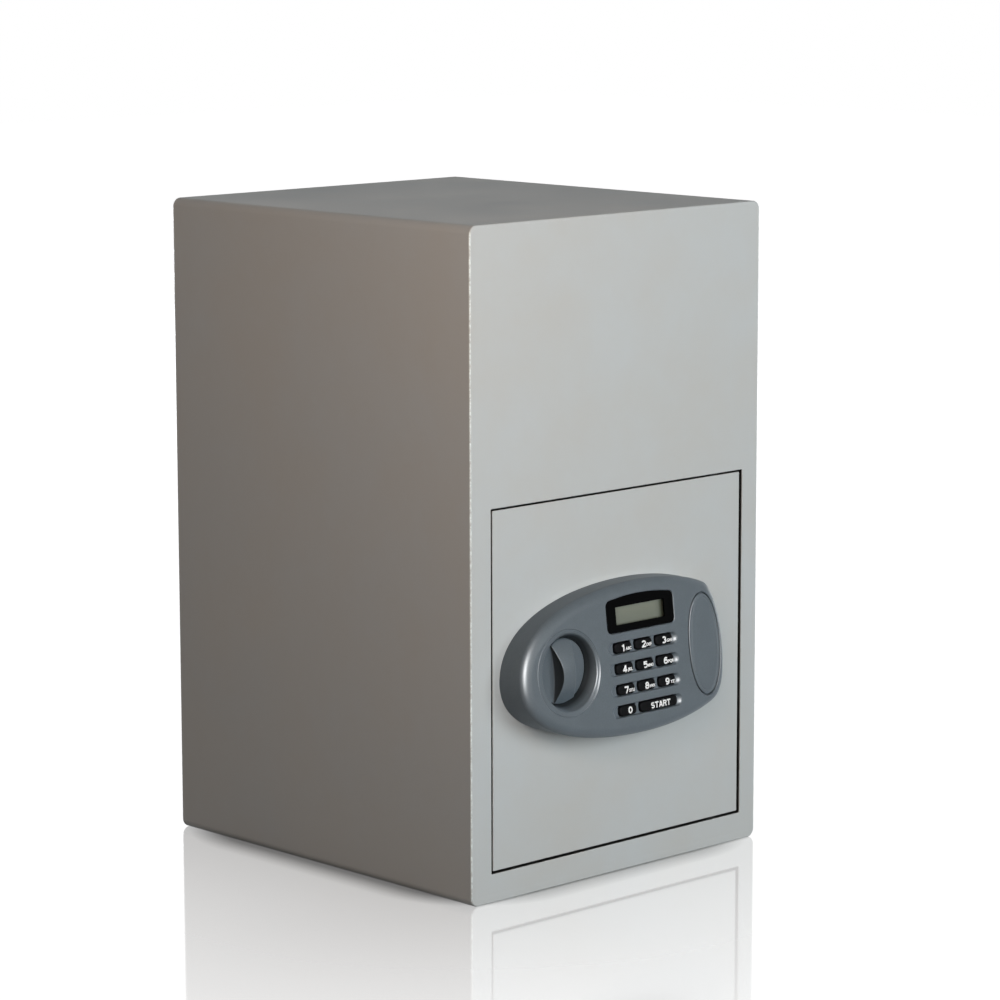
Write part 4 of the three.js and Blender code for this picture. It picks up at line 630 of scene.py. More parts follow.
def upright_box(box, grow, radius):
    """A rounded rectangle (x low, x high, z low, z high) drawn in all round, in the plane of the front"""
    x0, x1, z0, z1 = box
    return rounded_box((x0 + x1) / 2, (z0 + z1) / 2, (x1 - x0) / 2 - grow, (z1 - z0) / 2 - grow, radius, 6)


def inset(outline, distance):
    """A counter-clockwise outline drawn in by a distance"""
    drawn = []
    for i, (x, y) in enumerate(outline):
        ax, ay = outline[i - 1]
        bx, by = outline[(i + 1) % len(outline)]
        length = math.hypot(bx - ax, by - ay)
        drawn.append((x - (by - ay) / length * distance, y + (bx - ax) / length * distance))
    return drawn


def curve_outline(start, curves, divisions):
    """Points along joined Bezier curves, counter-clockwise"""
    points = []
    for one, two, end in curves:
        for i in range(divisions):
            t = i / divisions
            s = 1 - t
            points.append(tuple(s ** 3 * start[k] + 3 * s * s * t * one[k] + 3 * s * t * t * two[k]
                                + t ** 3 * end[k] for k in (0, 1)))
        start = end
    area = sum(a[0] * b[1] - b[0] * a[1] for a, b in zip(points, points[1:] + points[:1]))
    return points if area > 0 else points[::-1]


def turned(profile, centre, segments=32, axis="Y"):
    """A turned solid; profile holds (radius, along) and centre the two other coordinates"""
    k = "XYZ".index(axis)
    rings = []
    for radius, along in profile:
        angles = [2 * math.pi * i / segments for i in range(segments)]
        ring = [[centre[0] + radius * math.cos(t), centre[1] + radius * math.sin(t)] for t in angles]
        rings.append([[*point[:k], along, *point[k:]] for point in ring])
    return loft(rings)


def drill(radius, start, end, centre, segments=32, axis="Y"):
    return turned([(radius, start), (radius, end)], centre, segments, axis)


def carve(shape, cutters, operation="DIFFERENCE"):
    """The shape with closed cutters taken from it, or joined to it"""
    scratch = bpy.data.collections.new("cutters")
    bpy.context.scene.collection.children.link(scratch)
    made = []
    for one in [shape, *cutters]:
        bmesh.ops.recalc_face_normals(one, faces=one.faces)
        made.append(bpy.data.objects.new("cutter", mesh_of("cutter", one)))
    bpy.context.scene.collection.objects.link(made[0])
    for cutter in made[1:]:
        scratch.objects.link(cutter)
    cut = made[0].modifiers.new("Cut", "BOOLEAN")
    cut.operation = operation
    cut.solver = "MANIFOLD"
    cut.operand_type = "COLLECTION"
    cut.collection = scratch
    result = evaluated(made[0])
    for one in made:
        mesh = one.data
        bpy.data.objects.remove(one)
        bpy.data.meshes.remove(mesh)
    bpy.data.collections.remove(scratch)
    if not result.faces:
        raise RuntimeError("a cut left nothing")
    return result


def mesh_of(name, shape):
    mesh = bpy.data.meshes.new(name)
    shape.to_mesh(mesh)
    shape.free()
    return mesh


def added(name, data):
    """A new object in the scene's own collection"""
    made = bpy.data.objects.new(name, data)
    bpy.context.scene.collection.objects.link(made)
    return made


def evaluated(made):
    """The mesh that an object has after its modifiers or its text's layout"""
    done = made.evaluated_get(bpy.context.evaluated_depsgraph_get())
    result = bmesh.new()
    result.from_mesh(done.to_mesh())
    done.to_mesh_clear()
    return result


def round_edges(made, width, rim):
    """Rounds edges by angle or, where rim is given, only those between the vertices that it picks out"""
    bevel = made.modifiers.new("Rounded edges", "BEVEL")
    bevel.width = width
    bevel.segments = 3
    bevel.use_clamp_overlap = True
    bevel.miter_outer = "MITER_ARC"
    if rim is None:
        bevel.limit_method = "ANGLE"
        bevel.angle_limit = math.radians(35)
    else:
        picked = made.vertex_groups.new(name="rim")
        picked.add([v.index for v in made.data.vertices if rim(v.co / MM)], 1.0, "REPLACE")
        bevel.limit_method = "VGROUP"
        bevel.vertex_group = picked.name


def even_shading(made):
    even = made.modifiers.new("Even shading", "WEIGHTED_NORMAL")
    even.keep_sharp = True
    even.weight = 95


def piece(name, shape, finish, body, stands_for=(), sharp=40):
    """A finished piece that rides on a body and, where told, stands for CAD nodes"""
    bmesh.ops.recalc_face_normals(shape, faces=shape.faces)
    mesh = mesh_of(name, shape)
    mesh.shade_smooth()
    mesh.materials.append(material(finish))
    mesh.set_sharp_from_angle(angle=math.radians(sharp))
    made = added(name, mesh)
    even_shading(made)
    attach(made, body)
    if stands_for:
        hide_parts(*stands_for)


def dress(finish, edge, *names, rims=(None,)):
    """Finish CAD nodes: join their facets, round their edges or their rims, and give them a material"""
    for name in names:
        cad = NODES[name]
        cad.material_slots[0].material = material(finish)
        for label in ("custom_normal", "sharp_edge"):
            if label in cad.data.attributes:
                cad.data.attributes.remove(cad.data.attributes[label])
        cad.data.shade_smooth()
        cad.modifiers.new("Join", "WELD").merge_threshold = 1e-6
        flat = cad.modifiers.new("Flat faces", "DECIMATE")
        flat.decimate_type = "DISSOLVE"
        flat.angle_limit = math.radians(1)
        for rim in rims:
            round_edges(cad, edge, rim)
        even_shading(cad)


# Body and door
def near(a, b):
    return abs(a - b) < 0.02


def sheet_outline(point, y):
    """True on the outer edge of the wrapped sheet at depth y"""
    across = SHEET_HALF_X - abs(point.x)
    up = min(point.z, SHEET_TOP - point.z)
    corner = math.hypot(max(SHEET_CORNER - across, 0), max(SHEET_CORNER - up, 0))
    return near(point.y, y) and (near(across, 0) or near(up, 0) or near(corner, SHEET_CORNER))


def hopper_outline(point):
    """True on the rear panel's outer face round the hopper's opening"""
    return near(point.y, BACK) and abs(point.x) < 95 and 280 < point.z < 390


def pan_screws(seat, places):
    """Pan head screws on a face that looks back, each with a cross recess"""
    radius = bpy.context.scene.safe_sizes.screw_head / MM
    shape = bmesh.new()
    for k, (x, z) in enumerate(places):
        profile = [(radius * 0.5, seat - 0.6), (radius * 0.5, seat), (radius, seat)]
        profile += [(radius * math.cos(t) ** 0.7, seat + radius * (0.3 + 0.4 * math.sin(t)))
                    for t in (math.radians(15 * i) for i in range(6))]
        half, arm = radius * 0.12, radius * 0.52
        cross = []
        for i in range(4):
            angle = math.pi / 2 * i + 0.4 + 0.9 * k
            for a, b in ((arm, -half), (arm, half), (half, half)):
                cross.append((x + a * math.cos(angle) - b * math.sin(angle),
                              z + a * math.sin(angle) + b * math.cos(angle)))
        recess = upright_block(cross, seat + radius * 0.32, seat + radius)
        mesh = mesh_of("screw", carve(turned(profile, (x, z)), [recess]))
        shape.from_mesh(mesh)
        bpy.data.meshes.remove(mesh)
    return shape


def weld_beads(x, y, places, length):
    """Short upright weld beads with the scallops that each dip of the rod leaves"""
    radius = bpy.context.scene.safe_sizes.weld_bead / MM
    shape = bmesh.new()
    count = round(length / 0.35)
    for start in places:
        rings = []
        for i in range(count + 1):
            t = i / count
            taper = math.sqrt(max(0.05, 1 - abs(2 * t - 1) ** 6))
            ripple = 1 - 0.16 * ((t * length / 1.6) % 1.0)
            wander = noise.noise(Vector((x, y, start + t * 9))) * 0.2
            size = radius * taper * ripple
            section = [(x + wander + size * math.cos(math.pi * k / 6), y + size * math.sin(math.pi * k / 6))
                       for k in range(12)]
            rings.append([(*point, start + length * t) for point in section])
        loft(rings, into=shape)
    return shape


def slab(outline_at, back, lip):
    """A plate up to the front plane with a rounded front rim; a lip below 0 flares it for a cutter"""
    rings = [upright_ring(outline_at(0), back)]
    for across, down in quarter(4):
        rings.append(upright_ring(outline_at(lip * across), FRONT + abs(lip) * down))
    if lip < 0:
        rings.append(upright_ring(outline_at(lip), FRONT - 1))
    return loft(rings)


class OBJECT_OT_safe_body(bpy.types.Operator):
    """Finish the wrapped body, its front and rear panels and the filled seams between them"""
    bl_idname = "object.safe_body"
    bl_label = "Safe Body"

    def execute(self, context):
        sizes = context.scene.safe_sizes
        ends = [lambda p: sheet_outline(p, FRONT), lambda p: sheet_outline(p, BACK)]
        dress("paint", sizes.sheet_edge, "body_shell", rims=ends)
        self.front_sheet(sizes.door_edge / MM)
        dress("paint", sizes.door_edge, "rear_panel", rims=[hopper_outline])
        self.fill_seam("front_seam", FRONT, -1)
        self.fill_seam("rear_seam", BACK, 1)
        return {"FINISHED"}

    def front_sheet(self, lip):
        """The front panel with crisp corners to its opening, its jambs, strikes and hinge pin holes"""
        def opening(grow):
            return upright_box(OPENING, grow, 0.6)

        low, high = [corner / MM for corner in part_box("front_panel")]
        plate = upright_box((low.x, high.x, low.z, high.z), 0, 3)
        shape = upright_block(plate, FRONT, FRONT + 2.5)
        jamb = upright_block(opening(-2), FRONT + 1.2, FRONT + 30)
        cutters = [slab(opening, FRONT + 31, -lip)]
        for z in STRIKES_Z:
            cutters.append(drill(10, OPENING[0] - 4, OPENING[0] + 1, (STRIKES_Y, z), axis="X"))
        for z in OPENING[2:]:
            cutters.append(drill(4.3, z - 4, z + 4, HINGE_PIN, axis="Z"))
        shape = carve(carve(shape, [jamb], "UNION"), cutters)
        piece("front_sheet", shape, "jamb_shaded_paint", "body", ["front_panel"])

    def fill_seam(self, label, y, side):
        """Filler ground flush over the joint, with the slight unevenness that a hand leaves"""
        section = [(1.35, -0.03), (0.9, 0.03), (0.2, 0.055), (-0.7, 0.055), (-2.1, 0.035), (-3.4, -0.03),
                   (-3.4, -0.5), (1.35, -0.5)]
        places = [(sx * SEAM_HALF_X, SHEET_TOP / 2 + sz * SEAM_HALF_Z) for sx, sz in CORNERS]
        path = []
        for k, (x0, z0) in enumerate(places):
            x1, z1 = places[(k + 1) % 4]
            path += [(x0, z0, math.pi / 2 * (k - 1 + i / 8)) for i in range(9)]
            steps = (90, 54)[k % 2]
            path += [(x0 + (x1 - x0) * i / steps, z0 + (z1 - z0) * i / steps, math.pi / 2 * k)
                     for i in range(1, steps)]
        rings = []
        for cx, cz, angle in path:
            ring = []
            for out, proud in section:
                x = cx + (SEAM_RADIUS + out) * math.cos(angle)
                z = cz + (SEAM_RADIUS + out) * math.sin(angle)
                if proud > 0:
                    proud += noise.noise(Vector((x, z, 0)) * 0.16) * 0.03
                    proud += noise.noise(Vector((x, z, 9)) * 0.6) * 0.012
                ring.append((x, y + side * proud, z))
            rings.append(ring)
        piece(label, loft(rings, closed_path=True), "paint", "body", sharp=60)


class OBJECT_OT_safe_door(bpy.types.Operator):
    """Finish the door plate, its hinge leaves and the inner cover with its screws"""
    bl_idname = "object.safe_door"
    bl_label = "Safe Door"

    def execute(self, context):
        low, high = [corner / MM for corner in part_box("door_plate")]

        def leaf(grow):
            return upright_box((low.x, high.x, low.z, high.z), grow, 0.5)

        cutters = [drill(radius, FRONT - 1, high.y + 1, centre, 48) for radius, centre in DOOR_HOLES]
        shape = carve(slab(leaf, high.y, context.scene.safe_sizes.door_edge / MM), cutters)
        piece("door_sheet", shape, "jamb_shaded_paint", "door", ["door_plate"])
        dress("inside_paint", 0.0006, "inner_cover")
        piece("cover_screws", pan_screws(COVER_BACK, COVER_SCREWS), "steel_pin", "door")
        beads = weld_beads(WELD_X, high.y + 0.4, WELD_STARTS, WELD_LENGTH)
        piece("leaf_welds", beads, "weld", "door", sharp=60)
        dress("zinc", 0.0005, "upper_hinge_leaf", "lower_hinge_leaf")
        dress("zinc", 0.0006, "upper_hinge_bracket", "lower_hinge_bracket")
        dress("steel_pin", 0.0004, "upper_hinge_pin", "lower_hinge_pin")
        return {"FINISHED"}


class OBJECT_OT_safe_bolt_work(bpy.types.Operator):
    """Finish the bolts, their carrier and guides, the crank and the solenoid"""
    bl_idname = "object.safe_bolt_work"
    bl_label = "Safe Bolt Work"

    def execute(self, context):
        dress("steel", 0.0003, "upper_bolt", "lower_bolt")
        dress("zinc", 0.0004, "bolt_carrier", "crank_arm", "upper_bolt_guide", "lower_bolt_guide")
        dress("zinc", 0.0003, "upper_guide_stud", "lower_guide_stud", "solenoid_body")
        dress("steel_pin", 0.0003, "knob_spindle", "solenoid_plunger")
        return {"FINISHED"}


class OBJECT_OT_safe_hopper(bpy.types.Operator):
    """Finish the rear hopper, its hood, baffle, rod and brackets, and the floor mat"""
    bl_idname = "object.safe_hopper"
    bl_label = "Safe Hopper"

    def execute(self, context):
        dress("paint", 0.0004, "hopper_door")
        dress("zinc", 0.0003, "hopper_pan", "hopper_guard", "anti_fish_baffle")
        dress("zinc_drawn", 0.0004, "hopper_pull")
        piece("pull_screws", pan_screws(PULL_BACK, PULL_SCREWS), "steel_pin", "hopper")
        dress("zinc", 0.0004, "hopper_left_bracket", "hopper_right_bracket")
        dress("steel", 0.0003, "hopper_rod")
        dress("rubber", 0.0005, "floor_mat")
        return {"FINISHED"}


# Lock panel
def egg_outline():
    def place(u, v):
        return (PANEL_X + u * PANEL_HALF_X, PANEL_Z + v * PANEL_HALF_Z)
    curves = [tuple(place(*point) for point in curve) for curve in EGG]
    return curve_outline(curves[-1][-1], curves, 40)


def egg_ring(outline, distance, depth):
    return [(x, face_y(z) + depth, z) for x, z in inset(outline, distance)]


def panel_form(outline, edge):
    """The panel's outer form: straight walls, a wide soft edge and the leaning face"""
    rings = [upright_ring(outline, FRONT)]
    for across, down in quarter(9):
        rings.append(egg_ring(outline, edge * across, EDGE_DEPTH * down))
    return loft(rings)


def form_ring(points, w, outline, edge):
    """A ring that follows the panel's form, lowered where its soft edge has fallen below its face"""
    ring = []
    for u, v in points:
        x, _, z = on_face(u, v, 0)
        away = min(math.hypot(x - a, z - b) for a, b in outline)
        drop = 0.0
        if away < edge:
            drop = EDGE_DEPTH * (1 - math.sqrt(1 - (1 - away / edge) ** 2)) * math.cos(LEAN)
        ring.append(on_face(u, v, w - drop))
    return ring


def key_list():
    """Each key's name, its centre on the face and half its width"""
    keys = []
    first = FIRST_KEY_X + KEY_SHIFT
    for row in range(3):
        for column in range(3):
            v = up_face(LAST_KEY_Z + (3 - row) * KEY_PITCH_Z)
            keys.append((f"key_{3 * row + column + 1}", first + column * KEY_PITCH_X, v, KEY_HALF_X))
    v = up_face(LAST_KEY_Z)
    keys.append(("key_0", first, v, KEY_HALF_X))
    keys.append(("key_start", first + 1.5 * KEY_PITCH_X, v, KEY_HALF_X + KEY_PITCH_X / 2))
    return keys


def groove_cutter(row):
    """A groove for a row of keys: ramps at both ends, rounded walls and a rounded mouth"""
    v = up_face(LAST_KEY_Z + (3 - row) * KEY_PITCH_Z)
    half_u, half_v, radius = 30, 3.8, 3.7
    rings = []
    for i in range(10):
        angle = math.radians(78) * i / 9
        left = 1 - math.sin(angle)
        ramp = 2.8 * (0.35 * left + 0.65 * math.cos(angle))
        outline = rounded_box(KEYS_X, v, half_u - ramp, half_v - 0.5 * left, radius - 0.5 * left)
        rings.append(face_ring(outline, -GROOVE_DEPTH * math.cos(angle)))
    for across, down in quarter(5)[1:4]:
        grow = 0.5 * across
        outline = rounded_box(KEYS_X, v, half_u + grow, half_v + grow, radius + grow)
        rings.append(face_ring(outline, -0.4 * down))
    mouth = rounded_box(KEYS_X, v, half_u + 0.5, half_v + 0.5, radius + 0.5)
    return loft(rings + [face_ring(mouth, 0.006), face_ring(mouth, 2)])


def window_outline(grow):
    """The display window: straight sides, rounded corners and an arched top"""
    radius = WINDOW_CORNER + grow
    left, right = KEYS_X - WINDOW_SPAN, KEYS_X + WINDOW_SPAN
    low = up_face(WINDOW_Z) + WINDOW_CORNER
    high = low + WINDOW_RISE
    arch = [(KEYS_X + WINDOW_SPAN * t, high + radius + 2 * (1 - t * t))
            for t in (1 - 2 * i / 28 for i in range(1, 28))]
    return [*arc(right, low, radius, radius, -90, 0, 8), *arc(right, high, radius, radius, 0, 90, 8), *arch,
            *arc(left, high, radius, radius, 90, 180, 8), *arc(left, low, radius, radius, 180, 270, 8)]


def window_cutter():
    """The window's pocket, whose mouth flares into a rounded lip"""
    lip = 0.45
    rings = [face_ring(window_outline(0), -1.5)]
    for across, down in quarter(5)[:4]:
        rings.append(face_ring(window_outline(lip * across), -lip * down))
    return loft(rings + [face_ring(window_outline(lip), w) for w in (0.006, 2)])


def display_outline(half_u, half_v, radius):
    return rounded_box(KEYS_X, up_face(WINDOW_Z) + 10.4, half_u, half_v, radius, 3)


def oval_outline(shrink):
    """The override cover's oval, drawn in by a distance"""
    a, b = OVAL_HALF_X - shrink, OVAL_HALF_V - shrink
    x, v = OVAL_X, up_face(OVAL_Z)
    curves = [
        ((x - a, v - 0.6 * b), (x - 0.6 * a, v - b), (x, v - b)),
        ((x + 0.6 * a, v - b), (x + a, v - 0.5 * b), (x + a, v)),
        ((x + a, v + 0.5 * b), (x + 0.6 * a, v + b), (x, v + b)),
        ((x - 0.6 * a, v + b), (x - a, v + 0.6 * b), (x - a, v)),
    ]
    return curve_outline((x - a, v), curves, 28)


def oval_cutter(outline, edge):
    """The cover's pocket, whose mouth is rounded along the panel's own form"""
    rings = [face_ring(oval_outline(0), -2.6)]
    for grow, w in ((0, -0.75), (0.06, -0.45), (0.2, -0.22), (0.42, -0.07), (0.7, 0.01), (0.75, 0.3)):
        rings.append(form_ring(oval_outline(-grow), w, outline, edge))
    return loft(rings + [face_ring(oval_outline(-0.75), 3)])


def bowl_cutter():
    """The knob's bowl: a tapering wall, a rounded inner crest, a sloping rim and a fine outer crease"""
    circle = [(math.cos(t), math.sin(t)) for t in (2 * math.pi * i / 128 for i in range(128))]
    mouth = [math.radians(80) * i / 7 for i in range(8)]
    shallow = [(22.85 + 1.55 * (1 - math.cos(t)), 0.45 + 1.55 * (1 - math.sin(t)), 0) for t in mouth]
    shallow += [(24.7, 0.4, -0.3), (25.4, 0.24, -0.9), (25.85, 0.14, -1.25), (26.05, 0.3, -1.3),
                (26.2, 0.38, -1.3), (26.35, 0.28, -1.3), (26.55, 0.06, -1.3), (26.75, -0.02, -1.3),
                (26.8, -2, -1.3)]
    rings = [[(KNOB_X + BOWL_RADIUS * c, y, KNOB_Z + BOWL_RADIUS * s) for c, s in circle]
             for y in (DISC_BACK + 0.3, DISC_FRONT)]
    for radius, depth, shift in shallow:
        outline = [(KNOB_X + shift + radius * c, KNOB_Z + radius * s) for c, s in circle]
        rings.append([(x, face_y(z) + depth, z) for x, z in outline])
    return loft(rings)


class OBJECT_OT_safe_lock_housing(bpy.types.Operator):
    """Build the moulded lock housing with its bowl, key grooves, window and cover pocket"""
    bl_idname = "object.safe_lock_housing"
    bl_label = "Lock Housing"

    def execute(self, context):
        edge = context.scene.safe_sizes.housing_edge / MM
        outline = egg_outline()
        shape = carve(panel_form(outline, edge), self.cutters(outline, edge))
        piece("housing_moulding", shape, "housing", "door", ["lock_housing"], sharp=15)
        self.cover(outline, edge)
        bezel = loft([face_ring(window_outline(grow), w) for grow, w in
                      ((-0.3, -1.35), (-0.3, -0.45), (-0.36, -0.27), (-0.5, -0.17), (-0.7, -0.15))])
        view = face_block(display_outline(DISPLAY_HALF_X, 5.5, 0.3), -3, 2)
        piece("window_surround", carve(bezel, [view]), "window", "door", ["window_bezel"])
        dress("display", 0.0002, "lcd_screen")
        dress("board", 0.0002, "circuit_board")
        dress("rubber", 0.0003, "key_mat")
        dress("brass", 0.0003, "override_cylinder", "override_plug")
        return {"FINISHED"}

    def cutters(self, outline, edge):
        """The hollow behind the panel's face and all that opens through it"""
        knob, lock = (KNOB_X, KNOB_Z), (OVAL_X, OVAL_Z)
        hollow = loft([upright_ring(inset(outline, PANEL_WALL), FRONT + 1),
                       egg_ring(outline, PANEL_WALL, 9.0), egg_ring(outline, PANEL_WALL + 4, 4.6)])
        boss = drill(BOSS_RADIUS, -170, BOSS_BACK, knob, 96)
        cutters = [carve(hollow, [boss]), bowl_cutter()]
        cutters.append(drill(SPINDLE_HOLE, DISC_BACK - 2, FRONT + 1, knob, 40))
        cutters += [groove_cutter(row) for row in range(4)]
        for _, u, v, half in key_list():
            cutters.append(face_block(rounded_box(u, v + 0.25, half + 0.3, 3.75, KEY_CORNER), -7, -0.12))
        cutters += [window_cutter(), face_block(display_outline(24.8, 8.05, 0.6), -7, -1)]
        return cutters + [oval_cutter(outline, edge), drill(LOCK_HOLE, -166, FRONT + 1, lock, 48)]

    def cover(self, outline, edge):
        """The oval cover, with a fine groove along its rim"""
        rings = [face_ring(oval_outline(0.85), -2.3)]
        for shrink, w in ((0.85, -0.6), (0.88, -0.42), (0.96, -0.27), (1.1, -0.15), (1.3, -0.06),
                          (1.55, -0.01), (2.0, 0), (2.5, 0), (2.75, -0.06), (2.92, -0.2), (3.05, -0.2),
                          (3.22, -0.06), (3.45, 0), (4.2, 0), (6.5, 0), (9.5, 0), (12.5, 0)):
            rings.append(form_ring(oval_outline(shrink), w, outline, edge))
        piece("cover_moulding", loft(rings), "housing", "override_cover",
              ["override_cover"], sharp=60)


class OBJECT_OT_safe_knob(bpy.types.Operator):
    """Build the turning knob: a disc whose grip is dished on both sides and arched along its length"""
    bl_idname = "object.safe_knob"
    bl_label = "Knob"

    def execute(self, context):
        rim = [(0.3, DISC_BACK), (0, DISC_BACK - 0.3), (0, DISC_FRONT + 0.7), (0.1, DISC_FRONT + 0.35),
               (0.35, DISC_FRONT + 0.1), (0.7, DISC_FRONT)]
        shape = turned([(6, FRONT + 6.5), (6, DISC_BACK), *[(KNOB_RADIUS - drawn, y) for drawn, y in rim]],
                       (0, 0), 96)
        sections = 56
        loft([self.grip_ring(math.sin(math.pi / 2 * (2 * i / sections - 1) * 0.995))
              for i in range(sections + 1)], into=shape)
        lean = Matrix.Rotation(math.radians(-5), 4, "Y")
        shape.transform(Matrix.Translation(Vector((KNOB_X, 0, KNOB_Z)) * MM) @ lean)
        piece("turning_knob", shape, "housing", "knob", ["knob"], sharp=55)
        return {"FINISHED"}

    def grip_ring(self, along):
        """The grip's section at a place between its lower end, -1, and its upper end, 1"""
        reach = KNOB_RADIUS - 0.35
        chord = reach * math.sqrt(1 - along * along)
        swell = math.cos(along * math.pi / 2)
        foot = min(8.6 - 2.3 * swell, chord)
        top = min(8.6 - 3.4 * swell, chord * 0.97)
        height = 8 * swell + 0.25
        right = []
        for t in (k / 12 for k in range(13)):
            dish = math.sin(math.pi * t) * 0.5 * swell
            right.append((foot + (top - foot) * t ** 1.6 - dish, height * 0.9 * t))
        crest = min(0.9, top * 0.4)
        for across, down in quarter(6)[1:]:
            right.append((top - crest * across, height * (0.9 + 0.08 * (1 - down))))
        inner = right[-1][0]
        for k, (_, down) in enumerate(quarter(6)[1:6], 1):
            right.append((inner * (1 - k / 6), height * (0.98 + 0.02 * (1 - down))))
        left = [(-u, w) for u, w in reversed(right)]
        return [(u, DISC_FRONT - w, reach * along)
                for u, w in ((foot, -1.5), *right, (0, height), *left, (-foot, -1.5))]


WORDS = ("ABC", "DEF", "GHI", "JKL", "MNO", "PQR", "STU", "VWX", "YZ")
LEGENDS = {f"key_{i}": word for i, word in enumerate(WORDS, 1)}


def crown(u, v, half_u):
    """Height of a key's top, whose crown falls off to a rounded rim, at a distance from its centre"""
    reach = min(half_u - abs(u), KEY_HALF_Z - abs(v))
    if reach < KEY_RIM:
        t = max(reach, 0) / KEY_RIM
        return KEY_TOP - 0.16 - 0.85 * (1 - math.sqrt(max(0, 1 - (1 - t) ** 2)))
    return KEY_TOP - 0.16 * max(0, 1 - (reach - KEY_RIM) / 1.9)


# Pen paths of the bold figures and letters. CAPITAL_HEIGHT is that of the small letters' font at size 1.
PEN = 0.9
GLYPH_HEIGHT = 4.0
CAPITAL_HEIGHT = 0.73
GLYPHS = {
    "0": [arc(0, 0, 1.2, 1.55, 0, 360)],
    "1": [[(-0.95, 0.9), (0.3, 1.5)], [(0.3, 2.0), (0.3, -2.0)]],
    "2": [arc(0, 0.75, 1.2, 0.8, 165, -42), [(0.95, 0.25), (-1.1, -1.4)], [(-1.6, -1.55), (1.65, -1.55)]],
    "3": [arc(-0.05, 0.8, 1.1, 0.75, 152, -90), arc(-0.05, -0.75, 1.25, 0.8, 90, -152)],
    "4": [[(0.55, 2.0), (0.55, -2.0)], [(0.4, 1.65), (-1.25, -0.75)], [(-1.65, -0.85), (1.65, -0.85)]],
    "5": [[(1.4, 1.55), (-1.3, 1.55)], [(-0.9, 1.7), (-1.1, 0.1)], arc(0, -0.5, 1.2, 1.05, 140, -148)],
    "6": [arc(0, -0.6, 1.2, 0.95, 0, 360), arc(0.1, 0, 1.3, 1.55, 48, 188)],
    "7": [[(-1.6, 1.55), (1.55, 1.55)], [(1.25, 1.6), (-0.35, -2.0)]],
    "8": [arc(0, 0.8, 1.0, 0.75, 0, 360), arc(0, -0.72, 1.2, 0.83, 0, 360)],
    "9": [arc(0, 0.6, 1.2, 0.95, 0, 360), arc(-0.1, 0, 1.3, 1.55, 228, 368)],
    "S": [arc(0, 0.78, 1.15, 0.77, 28, 268) + arc(0, -0.76, 1.2, 0.79, 88, -152)],
    "T": [[(-1.65, 1.55), (1.65, 1.55)], [(0, 1.6), (0, -2.0)]],
    "A": [[(-1.35, -2.0), (-0.1, 1.9)], [(1.35, -2.0), (0.1, 1.9)], [(-0.85, -0.8), (0.85, -0.8)]],
    "R": [[(-1.2, -2.0), (-1.2, 2.0)], [(-1.2, 1.55), *arc(0.2, 0.8, 1.05, 0.75, 90, -90), (-1.2, 0.05)],
          [(0.25, 0.1), (1.35, -2.0)]],
}


def pen_stroke(path):
    """Pairs of points on both sides of a finely cut pen path"""
    fine = []
    for (ax, ay), (bx, by) in zip(path, path[1:]):
        steps = max(1, round(math.hypot(bx - ax, by - ay) / 0.4))
        fine += [(ax + (bx - ax) * i / steps, ay + (by - ay) * i / steps) for i in range(steps)]
    closed = math.dist(path[0], path[-1]) < 0.01
    if not closed:
        fine.append(path[-1])
    pairs = []
    for i, (x, y) in enumerate(fine):
        ax, ay = fine[i - 1] if i or closed else fine[0]
        bx, by = fine[(i + 1) % len(fine)] if closed or i + 1 < len(fine) else fine[-1]
        reach = PEN / 2 / math.hypot(bx - ax, by - ay)
        across, up = (ay - by) * reach, (bx - ax) * reach
        pairs.append(((x + across, y + up), (x - across, y - up)))
    return pairs, closed


